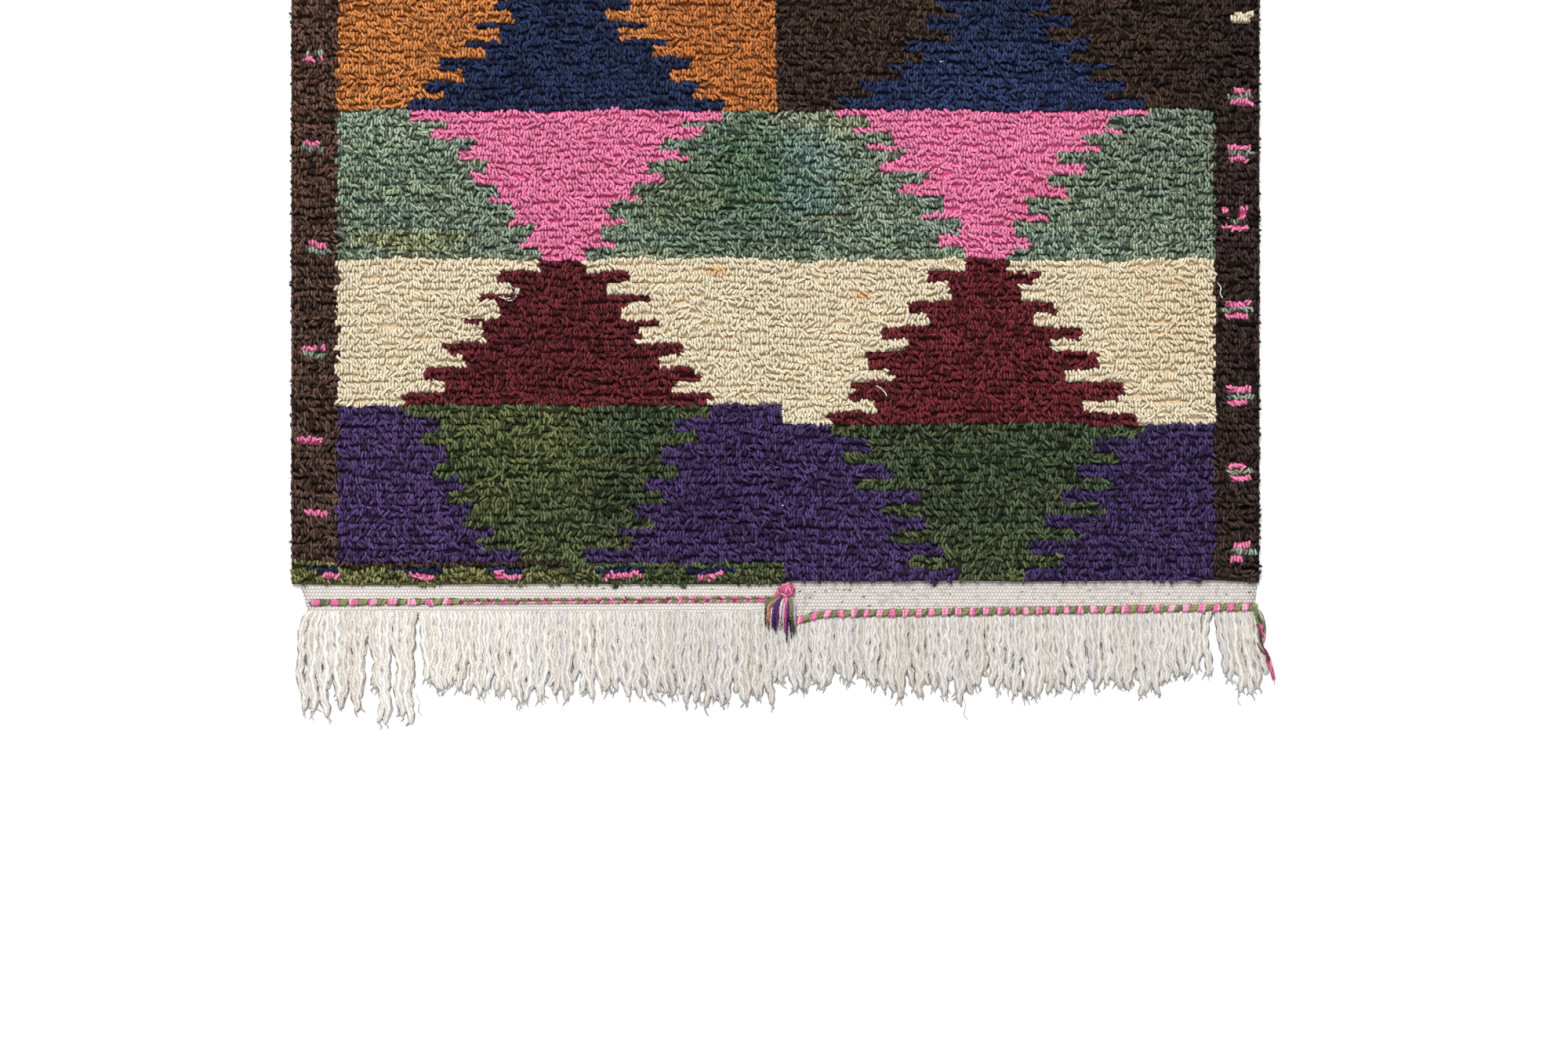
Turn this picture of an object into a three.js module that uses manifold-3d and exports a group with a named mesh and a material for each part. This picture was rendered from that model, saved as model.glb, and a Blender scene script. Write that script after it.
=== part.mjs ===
// Turkish rug: two narrow panels of looped wool pile on a cotton ground, sewn edge to edge down the middle.
// Each panel ends in a bare cotton web, whose warps are twisted into a fringe. A two-colour wool braid lies
// on the web of each panel's lower end, a small wool tassel hangs where the two braids meet, and the right
// braid runs out in a loose tail at the corner.
// Millimetres, +X to the rug's right, +Y up its length, +Z up. The underside lies on Z = 0.

import * as THREE from 'three';
import { mergeVertices } from 'three/addons/utils/BufferGeometryUtils.js';
import Module from 'manifold-3d';

const wasm = await Module();
wasm.setup();

// Pile and ground cloth
const LEFT_EDGE = -630;
const RIGHT_EDGE = 608;
const PILE_LOWER_END = -763;
const PILE_UPPER_END = 807;
const GROUND_THICKNESS = 3;
const PILE_TOP = 12.5;
const COLUMN_PITCH = 60;
const ROW_PITCH = 56;

// Unevenness of hand-knotted pile: waves of its top, and of its two ends, by their length across and along
const LUMPS = [
  { rise: 0.45, across: 190, along: 900 },
  { rise: 0.35, across: -640, along: 230 },
  { rise: 0.3, across: 310, along: -270 },
];
const END_WAVES = [
  { rise: 1.1, across: 107 },
  { rise: 0.7, across: 61 },
];

// The rounded rim of the pile, from its outer face inwards
const RIM = [
  { inset: 0, height: 7.5 },
  { inset: 4, height: 10.8 },
  { inset: 13, height: PILE_TOP },
];

// Where the two panels meet: the seam drifts a little to the right on its way down
const SEAM_GAP = 0.3;
const SEAM = [
  { y: -810, x: 2 },
  { y: -558, x: -2 },
  { y: -18, x: -11 },
  { y: 840, x: -22 },
];

// Bare cotton webs: each end of a panel as a line from its outer side to the seam, narrower than the pile
const WEB_START = 0.8;
const LOWER_WEB = {
  left: { outerX: -607, outerY: -802, seamY: -802, startX: -619 },
  right: { outerX: 601, outerY: -799, seamY: -809, startX: 605 },
};
const UPPER_WEB = {
  left: { outerX: -609, outerY: 838, seamY: 838, startX: -619 },
  right: { outerX: 600, outerY: 838, seamY: 838, startX: 605 },
};

// Fringe: twisted warps that leave a narrow strip along the web's end
const PIECE_GAP = 0.3;
const STRIP_WIDTH = 6;
const STRAND_PITCH = 10.6;
const STRAND_WIDTH = 7.4;
const STRAND_HEIGHT = 4.4;
const STRAND_LENGTH = 92;
const STRAND_UNEVEN = 6.6;
const STRAND_PROFILE = [
  { along: 0, width: 0.8, height: 0.62 },
  { along: 0.45, width: 1, height: 1 },
  { along: 0.85, width: 0.9, height: 0.8 },
  { along: 1, width: 0.35, height: 0.3 },
];

// Sideways drift of the strands' tips
const TIP_SCATTER = 0.5;
const TIP_CURVE = 1.5;
const TIP_DRIFT = [
  { rise: 2.2, across: 289 },
  { rise: 1.2, across: 132 },
];

// The outermost strands fan out, and the strands part at two places of the lower end
const LOWER_FAN = [
  { x: -607, swing: -15, spread: 26 },
  { x: 601, swing: 13, spread: 70 },
];
const UPPER_FAN = [
  { x: -609, swing: -5, spread: 30 },
  { x: 600, swing: 5, spread: 30 },
];
const LOWER_PARTINGS = [
  { x: -471, width: 7, spread: 22 },
  { x: 544, width: 5, spread: 20 },
];

// Locks that hang past the rest at the lower end
const LONG_LOCKS = [
  { x: -591, halfWidth: 15, extra: 25 },
  { x: -549, halfWidth: 16, extra: 21 },
  { x: -513, halfWidth: 10, extra: 42 },
  { x: -486, halfWidth: 10, extra: 44 },
  { x: -18, halfWidth: 5, extra: 18 },
  { x: 233, halfWidth: 5, extra: 20 },
];

// Braids: rows of knots, alternately of the two colours
const BRAID_BELLY = { width: 9.5, height: 3 };
const BRAID_WAIST = { width: 6.5, height: 2 };
const BRAIDS = [
  { name: 'braid_left', knots: 52, start: { x: -605, y: -787.5 }, end: { x: -17, y: -782 } },
  { name: 'braid_right', knots: 70, start: { x: 19, y: -802.5 }, end: { x: 599, y: -793 } },
];

// The right braid's loose tail, from the corner of the web down to the floor
const TAIL = [
  { x: 599.5, y: -793, z: 3.3, width: 5, height: 3 },
  { x: 604, y: -793.3, z: 3.3, width: 6, height: 3.5 },
  { x: 608.5, y: -799, z: 1.6, width: 7.5, height: 4 },
  { x: 611, y: -808, z: 0, width: 5, height: 4 },
  { x: 612, y: -816, z: 0, width: 6.5, height: 4.5 },
  { x: 614, y: -827, z: 0, width: 4, height: 3.5 },
  { x: 617, y: -840, z: 0, width: 4.5, height: 3.5 },
  { x: 620, y: -853, z: 0, width: 5.5, height: 4 },
  { x: 623, y: -864, z: 0, width: 10, height: 4.5 },
  { x: 625, y: -876, z: 0, width: 9, height: 4 },
  { x: 627, y: -889, z: 0, width: 2.5, height: 2 },
];

// Tassel: a wound head, with a skirt of locks that lies over the fringe
const TASSEL_HEAD = { x: 5, y: -777, halfWidth: 11, halfLength: 11, halfHeight: 5 };
const TASSEL_LOCKS = 9;
const TASSEL_ROOT_SPREAD = 15;
const TASSEL_TIP_SPREAD = 37;
const TASSEL_TIP_X = -3;
const TASSEL_LOCK_WIDTH = 4.2;
const TASSEL_LOCK_HEIGHT = 4.6;
const TASSEL_LOCK_LENGTH = 49;
const TASSEL_UNEVEN = 4;
const TASSEL_BOTTOM = 4.9;

// Sections that the sweeps below run along a path, with the flat side down
const RIDGE = [
  { side: -0.5, up: 0 },
  { side: 0.5, up: 0 },
  { side: 0, up: 1 },
];
const CROWNED = [
  { side: -0.5, up: 0 },
  { side: 0.5, up: 0 },
  { side: 0.3, up: 1 },
  { side: -0.3, up: 1 },
];
const SQUARE = [
  { side: -0.5, up: 0 },
  { side: 0.5, up: 0 },
  { side: 0.5, up: 1 },
  { side: -0.5, up: 1 },
];

// Matte yarns
const PILE_WOOL = { color: 0x5d4a48, roughness: 0.95 };
const FRINGE_COTTON = { color: 0xe3ded4, roughness: 0.92 };
const BRAID_WOOL = { color: 0xc4708f, roughness: 0.9 };
const TASSEL_WOOL = { color: 0x8d5a86, roughness: 0.9 };

const { lerp } = THREE.MathUtils;

// A fixed scatter between -1 and 1 for the strand of this number
function scatter(number, salt) {
  const wave = 1e4 * Math.sin(number * 12.99 + salt * 78.23);
  return 2 * (wave - Math.floor(wave)) - 1;
}

// Height of a table of waves at a place
function ripple(waves, x, y = 0) {
  return waves.reduce((sum, { rise, across, along = Infinity }) => {
    const turns = x / across + y / along;
    return sum + rise * Math.sin(2 * Math.PI * turns);
  }, 0);
}

// The seam's place across the rug, on straight lines between the rows of its table
function seamX(y) {
  const next = SEAM.findIndex((row) => row.y >= y);
  if (next <= 0) return next ? SEAM[SEAM.length - 1].x : SEAM[0].x;
  const [low, high] = [SEAM[next - 1], SEAM[next]];
  return lerp(low.x, high.x, (y - low.y) / (high.y - low.y));
}

// Even steps from one place to another, both ends left out
function stepsBetween(from, to, pitch) {
  const count = Math.max(2, Math.round((to - from) / pitch));
  return Array.from({ length: count - 1 }, (_, step) => lerp(from, to, (step + 1) / count));
}

// Closed mesh from points and triangles
function meshFrom(points, triangles) {
  const geometry = new THREE.BufferGeometry();
  geometry.setAttribute('position', new THREE.Float32BufferAttribute(points.flat(), 3));
  geometry.setIndex(triangles.flat());
  return geometry;
}

// One panel, from end to end: a web, the rim of the pile, its lumpy top, the rim again and the other web
function panelGeometry(side) {
  const lower = LOWER_WEB[side];
  const upper = UPPER_WEB[side];
  const onLeft = side === 'left';
  const edge = onLeft ? LEFT_EDGE : RIGHT_EDGE;
  const seamShift = onLeft ? -SEAM_GAP / 2 : SEAM_GAP / 2;
  const flatInset = RIM[RIM.length - 1].inset;

  const middleRows = stepsBetween(PILE_LOWER_END + flatInset, PILE_UPPER_END - flatInset, ROW_PITCH);
  const rows = [
    { web: lower, end: true },
    { web: lower, y: PILE_LOWER_END - WEB_START },
    ...RIM.map((ring) => ({ y: PILE_LOWER_END + ring.inset, rise: ring.height })),
    ...middleRows.map((y) => ({ y, rise: PILE_TOP, middle: true })),
    ...RIM.toReversed().map((ring) => ({ y: PILE_UPPER_END - ring.inset, rise: ring.height })),
    { web: upper, y: PILE_UPPER_END + WEB_START },
    { web: upper, end: true },
  ];

  const width = Math.abs(edge);
  const middleColumns = stepsBetween(flatInset, width - flatInset, COLUMN_PITCH);
  const columns = [
    ...RIM.map((ring) => ({ share: ring.inset / width, rise: ring.height })),
    ...middleColumns.map((inset) => ({ share: inset / width, rise: PILE_TOP })),
    ...RIM.toReversed().map((ring) => ({ share: 1 - ring.inset / width, rise: ring.height })),
  ];

  // A point of the top, by row and column; columns run from the outer edge to the seam
  function topPoint(row, column) {
    if (row.end) {
      const x = lerp(row.web.outerX, seamX(row.web.seamY) + seamShift, column.share);
      return [x, lerp(row.web.outerY, row.web.seamY, column.share), GROUND_THICKNESS];
    }
    const outer = row.web ? row.web.startX : edge;
    const x = lerp(outer, seamX(row.y) + seamShift, column.share);
    const y = row.middle ? row.y : row.y + ripple(END_WAVES, x);
    if (row.web) return [x, y, GROUND_THICKNESS];
    const rise = Math.min(row.rise, column.rise);
    return [x, y, rise === PILE_TOP ? rise + ripple(LUMPS, x, y) : rise];
  }

  const top = rows.map((row) => columns.map((column) => topPoint(row, column)));
  const points = top.flat();
  const across = columns.length;
  const topIndex = (row, column) => row * across + column;
  const floorIndex = new Map();
  const lastRow = rows.length - 1;
  const lastColumn = across - 1;
  const floorPoint = (row, column) => {
    const key = topIndex(row, column);
    if (!floorIndex.has(key)) {
      const [x, y] = top[row][column];
      floorIndex.set(key, points.length);
      points.push([x, y, 0]);
    }
    return floorIndex.get(key);
  };

  const triangles = [];
  const quad = (a, b, c, d) => triangles.push([a, b, c], [a, c, d]);
  for (let row = 0; row < lastRow; row += 1) {
    for (let column = 0; column < lastColumn; column += 1) {
      const near = topIndex(row, column);
      const far = topIndex(row + 1, column);
      quad(near, near + 1, far + 1, far);
    }
    quad(topIndex(row, 0), topIndex(row + 1, 0), floorPoint(row + 1, 0), floorPoint(row, 0));
    quad(
      topIndex(row + 1, lastColumn),
      topIndex(row, lastColumn),
      floorPoint(row, lastColumn),
      floorPoint(row + 1, lastColumn),
    );
  }
  for (let column = 0; column < lastColumn; column += 1) {
    quad(topIndex(0, column + 1), topIndex(0, column), floorPoint(0, column), floorPoint(0, column + 1));
    quad(
      topIndex(lastRow, column),
      topIndex(lastRow, column + 1),
      floorPoint(lastRow, column + 1),
      floorPoint(lastRow, column),
    );
    triangles.push([floorPoint(0, column + 1), floorPoint(0, column), floorPoint(1, 0)]);
    triangles.push([
      floorPoint(lastRow, column),
      floorPoint(lastRow, column + 1),
      floorPoint(lastRow - 1, lastColumn),
    ]);
  }
  triangles.push([floorPoint(0, lastColumn), floorPoint(1, 0), floorPoint(1, lastColumn)]);
  triangles.push([floorPoint(lastRow, 0), floorPoint(lastRow - 1, lastColumn), floorPoint(lastRow - 1, 0)]);
  for (let row = 1; row < lastRow - 1; row += 1) {
    quad(
      floorPoint(row, 0),
      floorPoint(row + 1, 0),
      floorPoint(row + 1, lastColumn),
      floorPoint(row, lastColumn),
    );
  }

  // The right panel's columns run from right to left, so its triangles are turned round
  const outward = onLeft ? triangles : triangles.map(([a, b, c]) => [a, c, b]);
  return meshFrom(points, outward);
}

// Sweeps a section along stations of { x, y, z, width, height }, level with the floor
function sweepGeometry(stations, section) {
  const points = stations.flatMap((station, index) => {
    const before = stations[Math.max(0, index - 1)];
    const after = stations[Math.min(stations.length - 1, index + 1)];
    const run = Math.hypot(after.x - before.x, after.y - before.y);
    const acrossX = (after.y - before.y) / run;
    const acrossY = -(after.x - before.x) / run;
    return section.map(({ side, up }) => [
      station.x + acrossX * side * station.width,
      station.y + acrossY * side * station.width,
      station.z + up * station.height,
    ]);
  });
  const sides = section.length;
  const triangles = [];
  for (let ring = 0; ring < stations.length - 1; ring += 1) {
    for (let corner = 0; corner < sides; corner += 1) {
      const a = ring * sides + corner;
      const b = ring * sides + ((corner + 1) % sides);
      triangles.push([a, a + sides, b + sides], [a, b + sides, b]);
    }
  }
  const last = (stations.length - 1) * sides;
  for (let corner = 1; corner < sides - 1; corner += 1) {
    triangles.push([0, corner, corner + 1], [last, last + corner + 1, last + corner]);
  }
  return meshFrom(points, triangles);
}

// Fuses closed meshes into one solid
function fuse(geometries) {
  const solids = geometries.map((geometry) => {
    const bare = geometry.clone();
    bare.deleteAttribute('normal');
    bare.deleteAttribute('uv');
    const welded = mergeVertices(bare, 1e-4);
    const vertProperties = new Float32Array(welded.attributes.position.array);
    const triVerts = new Uint32Array(welded.index.array);
    return new wasm.Manifold(new wasm.Mesh({ numProp: 3, vertProperties, triVerts }));
  });
  const mesh = solids.reduce((whole, solid) => whole.add(solid)).getMesh();
  const geometry = new THREE.BufferGeometry();
  geometry.setAttribute('position', new THREE.BufferAttribute(mesh.vertProperties, 3));
  geometry.setIndex(new THREE.BufferAttribute(mesh.triVerts, 1));
  return geometry;
}

// Sideways swing of a strand's tip: it fans out at the corners and turns away from a parting
function tipSwing(x, fans, partings) {
  const fade = (row) => Math.exp(-Math.abs(x - row.x) / row.spread);
  const fan = fans.reduce((sum, row) => sum + row.swing * fade(row), 0);
  const part = partings.reduce((sum, row) => sum + Math.sign(x - row.x) * (row.width / 2) * fade(row), 0);
  return fan + part + ripple(TIP_DRIFT, x);
}

// One half of an end's fringe: the strip along the web, and its strands
function fringeGeometry({ web, outward, side, fans, partings, longLocks, salt }) {
  const seamShift = side === 'left' ? -SEAM_GAP / 2 : SEAM_GAP / 2;
  const offset = outward * (PIECE_GAP + STRIP_WIDTH / 2);
  const outer = { x: web.outerX, y: web.outerY + offset };
  const inner = { x: seamX(web.seamY) + seamShift, y: web.seamY + offset };
  const [start, end] = outer.x < inner.x ? [outer, inner] : [inner, outer];
  const strip = sweepGeometry(
    [start, end].map((point) => ({ ...point, z: 0, width: STRIP_WIDTH, height: GROUND_THICKNESS })),
    SQUARE,
  );
  const count = Math.round((end.x - start.x) / STRAND_PITCH);
  const strands = Array.from({ length: count }, (_, number) => {
    const share = (number + 0.5) / count;
    const rootX = lerp(start.x, end.x, share);
    const rootY = lerp(start.y, end.y, share);
    const swing = tipSwing(rootX, fans, partings) + TIP_SCATTER * scatter(number, salt);
    const lock = longLocks.find(({ x, halfWidth }) => Math.abs(rootX - x) <= halfWidth);
    const length = STRAND_LENGTH + STRAND_UNEVEN * scatter(number, salt + 1) + (lock ? lock.extra : 0);
    const stations = STRAND_PROFILE.map((row) => ({
      x: rootX + swing * row.along ** TIP_CURVE,
      y: rootY + outward * length * row.along,
      z: 0,
      width: STRAND_WIDTH * row.width,
      height: STRAND_HEIGHT * row.height,
    }));
    return sweepGeometry(stations, RIDGE);
  });
  return fuse([strip, ...strands]);
}

// A braid as a band that swells at each knot and narrows between them
function braidGeometry({ knots, start, end }) {
  const stations = Array.from({ length: 2 * knots + 1 }, (_, step) => {
    const share = step / (2 * knots);
    const size = step % 2 ? BRAID_BELLY : BRAID_WAIST;
    return {
      x: lerp(start.x, end.x, share),
      y: lerp(start.y, end.y, share),
      z: GROUND_THICKNESS + PIECE_GAP,
      ...size,
    };
  });
  return sweepGeometry(stations, CROWNED);
}

// The tassel's wound head and its skirt of locks
function tasselGeometry() {
  const head = new THREE.SphereGeometry(1, 12, 8);
  head.scale(TASSEL_HEAD.halfWidth, TASSEL_HEAD.halfLength, TASSEL_HEAD.halfHeight);
  head.translate(TASSEL_HEAD.x, TASSEL_HEAD.y, GROUND_THICKNESS + PIECE_GAP + TASSEL_HEAD.halfHeight);
  const locks = Array.from({ length: TASSEL_LOCKS }, (_, number) => {
    const share = number / (TASSEL_LOCKS - 1) - 0.5;
    const length = TASSEL_LOCK_LENGTH + TASSEL_UNEVEN * scatter(number, 9);
    const rootX = TASSEL_HEAD.x + share * TASSEL_ROOT_SPREAD;
    const tipX = TASSEL_TIP_X + share * TASSEL_TIP_SPREAD;
    const stations = STRAND_PROFILE.map((row) => ({
      x: lerp(rootX, tipX, row.along),
      y: TASSEL_HEAD.y - TASSEL_HEAD.halfLength / 2 - length * row.along,
      z: TASSEL_BOTTOM,
      width: TASSEL_LOCK_WIDTH * row.width,
      height: TASSEL_LOCK_HEIGHT * row.height,
    }));
    return sweepGeometry(stations, RIDGE);
  });
  return fuse([head, ...locks]);
}

const group = new THREE.Group();

function addPiece(name, geometry, yarn) {
  const mesh = new THREE.Mesh(geometry, new THREE.MeshStandardMaterial({ ...yarn, metalness: 0 }));
  mesh.name = name;
  group.add(mesh);
}

addPiece('panel_left', panelGeometry('left'), PILE_WOOL);
addPiece('panel_right', panelGeometry('right'), PILE_WOOL);

const lowerEnd = { outward: -1, fans: LOWER_FAN, partings: LOWER_PARTINGS, longLocks: LONG_LOCKS };
const upperEnd = { outward: 1, fans: UPPER_FAN, partings: [], longLocks: [] };
const FRINGES = [
  { name: 'fringe_lower_left', side: 'left', web: LOWER_WEB.left, salt: 1, ...lowerEnd },
  { name: 'fringe_lower_right', side: 'right', web: LOWER_WEB.right, salt: 3, ...lowerEnd },
  { name: 'fringe_upper_left', side: 'left', web: UPPER_WEB.left, salt: 5, ...upperEnd },
  { name: 'fringe_upper_right', side: 'right', web: UPPER_WEB.right, salt: 7, ...upperEnd },
];
FRINGES.forEach((fringe) => addPiece(fringe.name, fringeGeometry(fringe), FRINGE_COTTON));

BRAIDS.forEach((braid) => addPiece(braid.name, braidGeometry(braid), BRAID_WOOL));
addPiece('braid_tail', sweepGeometry(TAIL, CROWNED), BRAID_WOOL);
addPiece('tassel', tasselGeometry(), TASSEL_WOOL);

export default group;
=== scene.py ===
# Turkish rug: two narrow panels of looped wool pile on a cotton ground, sewn edge to edge down the middle,
# with bare webs, two-colour wool braids, a tassel at the seam, a loose tail at one corner and twisted
# fringes. Metres, +X to the rug's right, +Y up its length, +Z up. The underside lies on Z = 0.

import math

import bpy
import numpy as np
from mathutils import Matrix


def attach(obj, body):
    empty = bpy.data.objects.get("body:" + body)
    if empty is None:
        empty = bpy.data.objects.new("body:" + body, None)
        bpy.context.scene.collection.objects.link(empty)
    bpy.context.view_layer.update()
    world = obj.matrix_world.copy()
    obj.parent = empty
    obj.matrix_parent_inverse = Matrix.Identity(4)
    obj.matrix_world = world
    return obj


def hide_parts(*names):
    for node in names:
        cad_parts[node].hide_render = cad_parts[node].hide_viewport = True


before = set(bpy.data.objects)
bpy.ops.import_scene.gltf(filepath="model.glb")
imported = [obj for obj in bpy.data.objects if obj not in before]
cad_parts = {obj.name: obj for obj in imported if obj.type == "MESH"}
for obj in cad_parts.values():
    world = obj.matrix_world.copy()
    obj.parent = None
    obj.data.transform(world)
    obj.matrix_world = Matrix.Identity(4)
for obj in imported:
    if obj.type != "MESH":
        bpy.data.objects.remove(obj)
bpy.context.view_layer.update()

# Camera: straight above the rug. Its picture is two metres wide at the top of the pile and cuts off the far
# end.
CAMERA_HEIGHT = 4.5
PICTURE_WIDTH = 2.0
PICTURE_MIDDLE = (0.0, -0.6845)
FOCUS_LEVEL = 0.012

camera_data = bpy.data.cameras.new("camera")
camera_data.sensor_width = 36
camera_data.lens = camera_data.sensor_width * CAMERA_HEIGHT / PICTURE_WIDTH
camera_data.clip_end = 50
camera = bpy.data.objects.new("camera", camera_data)
camera.location = (*PICTURE_MIDDLE, CAMERA_HEIGHT + FOCUS_LEVEL)
bpy.context.scene.collection.objects.link(camera)
bpy.context.scene.camera = camera

# Studio: a plain pale floor, a broad soft light from beyond the far end and an even fill all round.
FLOOR_HALF_SIZE = 6.0
FLOOR_LEVEL = -0.0006
FLOOR_TONE = (0.9, 0.9, 0.9, 1)
KEY_STRENGTH = 2.5
KEY_SPREAD = math.radians(24)
KEY_HEIGHT = math.radians(56)
KEY_SIDE = math.radians(14)
FILL_STRENGTH = 0.63


def new_material(name, roughness, specular):
    """A matte material, its node tree and its shader"""
    material = bpy.data.materials.new(name)
    material.use_nodes = True
    shader = material.node_tree.nodes["Principled BSDF"]
    shader.inputs["Roughness"].default_value = roughness
    shader.inputs["Specular IOR Level"].default_value = specular
    return material, material.node_tree, shader


floor_mesh = bpy.data.meshes.new("floor")
floor_corners = [(-1, -1), (1, -1), (1, 1), (-1, 1)]
floor_mesh.from_pydata(
    [(FLOOR_HALF_SIZE * x, FLOOR_HALF_SIZE * y, FLOOR_LEVEL) for x, y in floor_corners], [], [range(4)]
)
floor = bpy.data.objects.new("floor", floor_mesh)
bpy.context.scene.collection.objects.link(floor)
floor_paint, _, floor_shader = new_material("pale floor", 0.9, 0.1)
floor_shader.inputs["Base Color"].default_value = FLOOR_TONE
floor_mesh.materials.append(floor_paint)

key_data = bpy.data.lights.new("key", "SUN")
key_data.energy = KEY_STRENGTH
key_data.angle = KEY_SPREAD
key = bpy.data.objects.new("key", key_data)
key.rotation_euler = (-(math.pi / 2 - KEY_HEIGHT), 0, KEY_SIDE)
bpy.context.scene.collection.objects.link(key)

surroundings = bpy.data.worlds.new("studio")
surroundings.use_nodes = True
surroundings.node_tree.nodes["Background"].inputs["Color"].default_value = (1, 1, 1, 1)
surroundings.node_tree.nodes["Background"].inputs["Strength"].default_value = FILL_STRENGTH
bpy.context.scene.world = surroundings
bpy.context.scene.view_settings.view_transform = "Standard"

# Ground cloth of each panel: plain-woven cotton, bare for a hand's breadth at both ends, where its warps run
# out into the fringe. The loom draws it in a little past the pile. The two lie edge to edge along the seam.
LEFT_EDGE = -0.630
RIGHT_EDGE = 0.608
PILE_LOWER_END = -0.763
PILE_UPPER_END = 0.807
SEAM_HEIGHTS = [-0.810, -0.558, -0.018, 0.840]
SEAM_PLACES = [0.002, -0.002, -0.011, -0.022]
SEAM_HALF_GAP = 0.00015
WEBS = {
    "lower_left": {"outer": (-0.607, -0.802), "seam_y": -0.802, "start_x": -0.619},
    "lower_right": {"outer": (0.601, -0.799), "seam_y": -0.809, "start_x": 0.605},
    "upper_left": {"outer": (-0.609, 0.838), "seam_y": 0.838, "start_x": -0.619},
    "upper_right": {"outer": (0.600, 0.838), "seam_y": 0.838, "start_x": 0.605},
}
CLOTH_COLUMNS = 32
WEB_ROWS = 8
CLOTH_ROWS = 24
CLOTH_TOP = 0.0028
CLOTH_BOTTOM = 0.0005
CLOTH_RIM = (0.0007, 0.0021)
CLOTH_RIPPLES = [(0.00012, 0.083, 0.31), (0.0001, -0.047, 0.019)]
COTTON_WHITE = (0.82, 0.77, 0.72, 1)
COTTON_CREAM = (0.74, 0.695, 0.645, 1)
COTTON_GREY = (0.34, 0.32, 0.30, 1)
COTTON_BLUSH = (0.78, 0.66, 0.62, 1)
WARP_PITCH = 0.0043
WEFT_PITCH = 0.0044
WEAVE_SWAY = 0.0026


def seam_x(y):
    """The seam's place across the rug: it drifts to the right on its way down"""
    return np.interp(y, SEAM_HEIGHTS, SEAM_PLACES)


def ripple(waves, x, y):
    """Height of a table of waves (rise, length across, length along) at a place"""
    return sum(rise * np.sin(2 * np.pi * (x / across + y / along)) for rise, across, along in waves)


def add_node(tree, kind, inputs=None, **settings):
    """Adds a node, sets its properties and fills its inputs with values or links"""
    node = tree.nodes.new(kind)
    for name, value in settings.items():
        setattr(node, name, value)
    for socket, value in (inputs or {}).items():
        if isinstance(value, bpy.types.NodeSocket):
            tree.links.new(value, node.inputs[socket])
        else:
            node.inputs[socket].default_value = value
    return node


def new_group(name, kind, inputs, outputs):
    """An empty node group with named inputs (type, default) and outputs, and its two end nodes"""
    group = bpy.data.node_groups.new(name, kind)
    for label, (socket_type, default) in inputs.items():
        socket = group.interface.new_socket(label, in_out="INPUT", socket_type=socket_type)
        if default is not None:
            socket.default_value = default
    for label, socket_type in outputs.items():
        group.interface.new_socket(label, in_out="OUTPUT", socket_type=socket_type)
    return group, group.nodes.new("NodeGroupInput"), group.nodes.new("NodeGroupOutput")


def formula(tree, operation, *values):
    """A Math node's result"""
    node = add_node(tree, "ShaderNodeMath", dict(enumerate(values)), operation=operation)
    return node.outputs[0]


def vector(tree, operation, *values):
    """A Vector Math node's result"""
    node = add_node(tree, "ShaderNodeVectorMath", dict(enumerate(values)), operation=operation)
    return node.outputs[0]


def scaled(tree, colour, share):
    """A colour or a vector times a number"""
    node = add_node(tree, "ShaderNodeVectorMath", {0: colour, "Scale": share}, operation="SCALE")
    return node.outputs[0]


def blend_tones(tree, share, first, second):
    """A colour mix's result"""
    node = add_node(tree, "ShaderNodeMix", {0: share, 6: first, 7: second}, data_type="RGBA")
    return node.outputs[2]


def remap(tree, value, low, high, at_low=0.0, at_high=1.0):
    """A value moved from one range to another, and kept within it"""
    node = add_node(tree, "ShaderNodeMapRange", {0: value, 1: low, 2: high, 3: at_low, 4: at_high})
    return node.outputs[0]


def noise(tree, place, scale, detail):
    """Soft noise between 0 and 1 at a place"""
    node = add_node(tree, "ShaderNodeTexNoise", {"Vector": place, "Scale": scale, "Detail": detail})
    return node.outputs["Fac"]


def emboss(tree, shader, height, distance, strength):
    """Gives a material's surface this height"""
    bump = add_node(tree, "ShaderNodeBump", {"Height": height, "Distance": distance, "Strength": strength})
    tree.links.new(bump.outputs[0], shader.inputs["Normal"])


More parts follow.
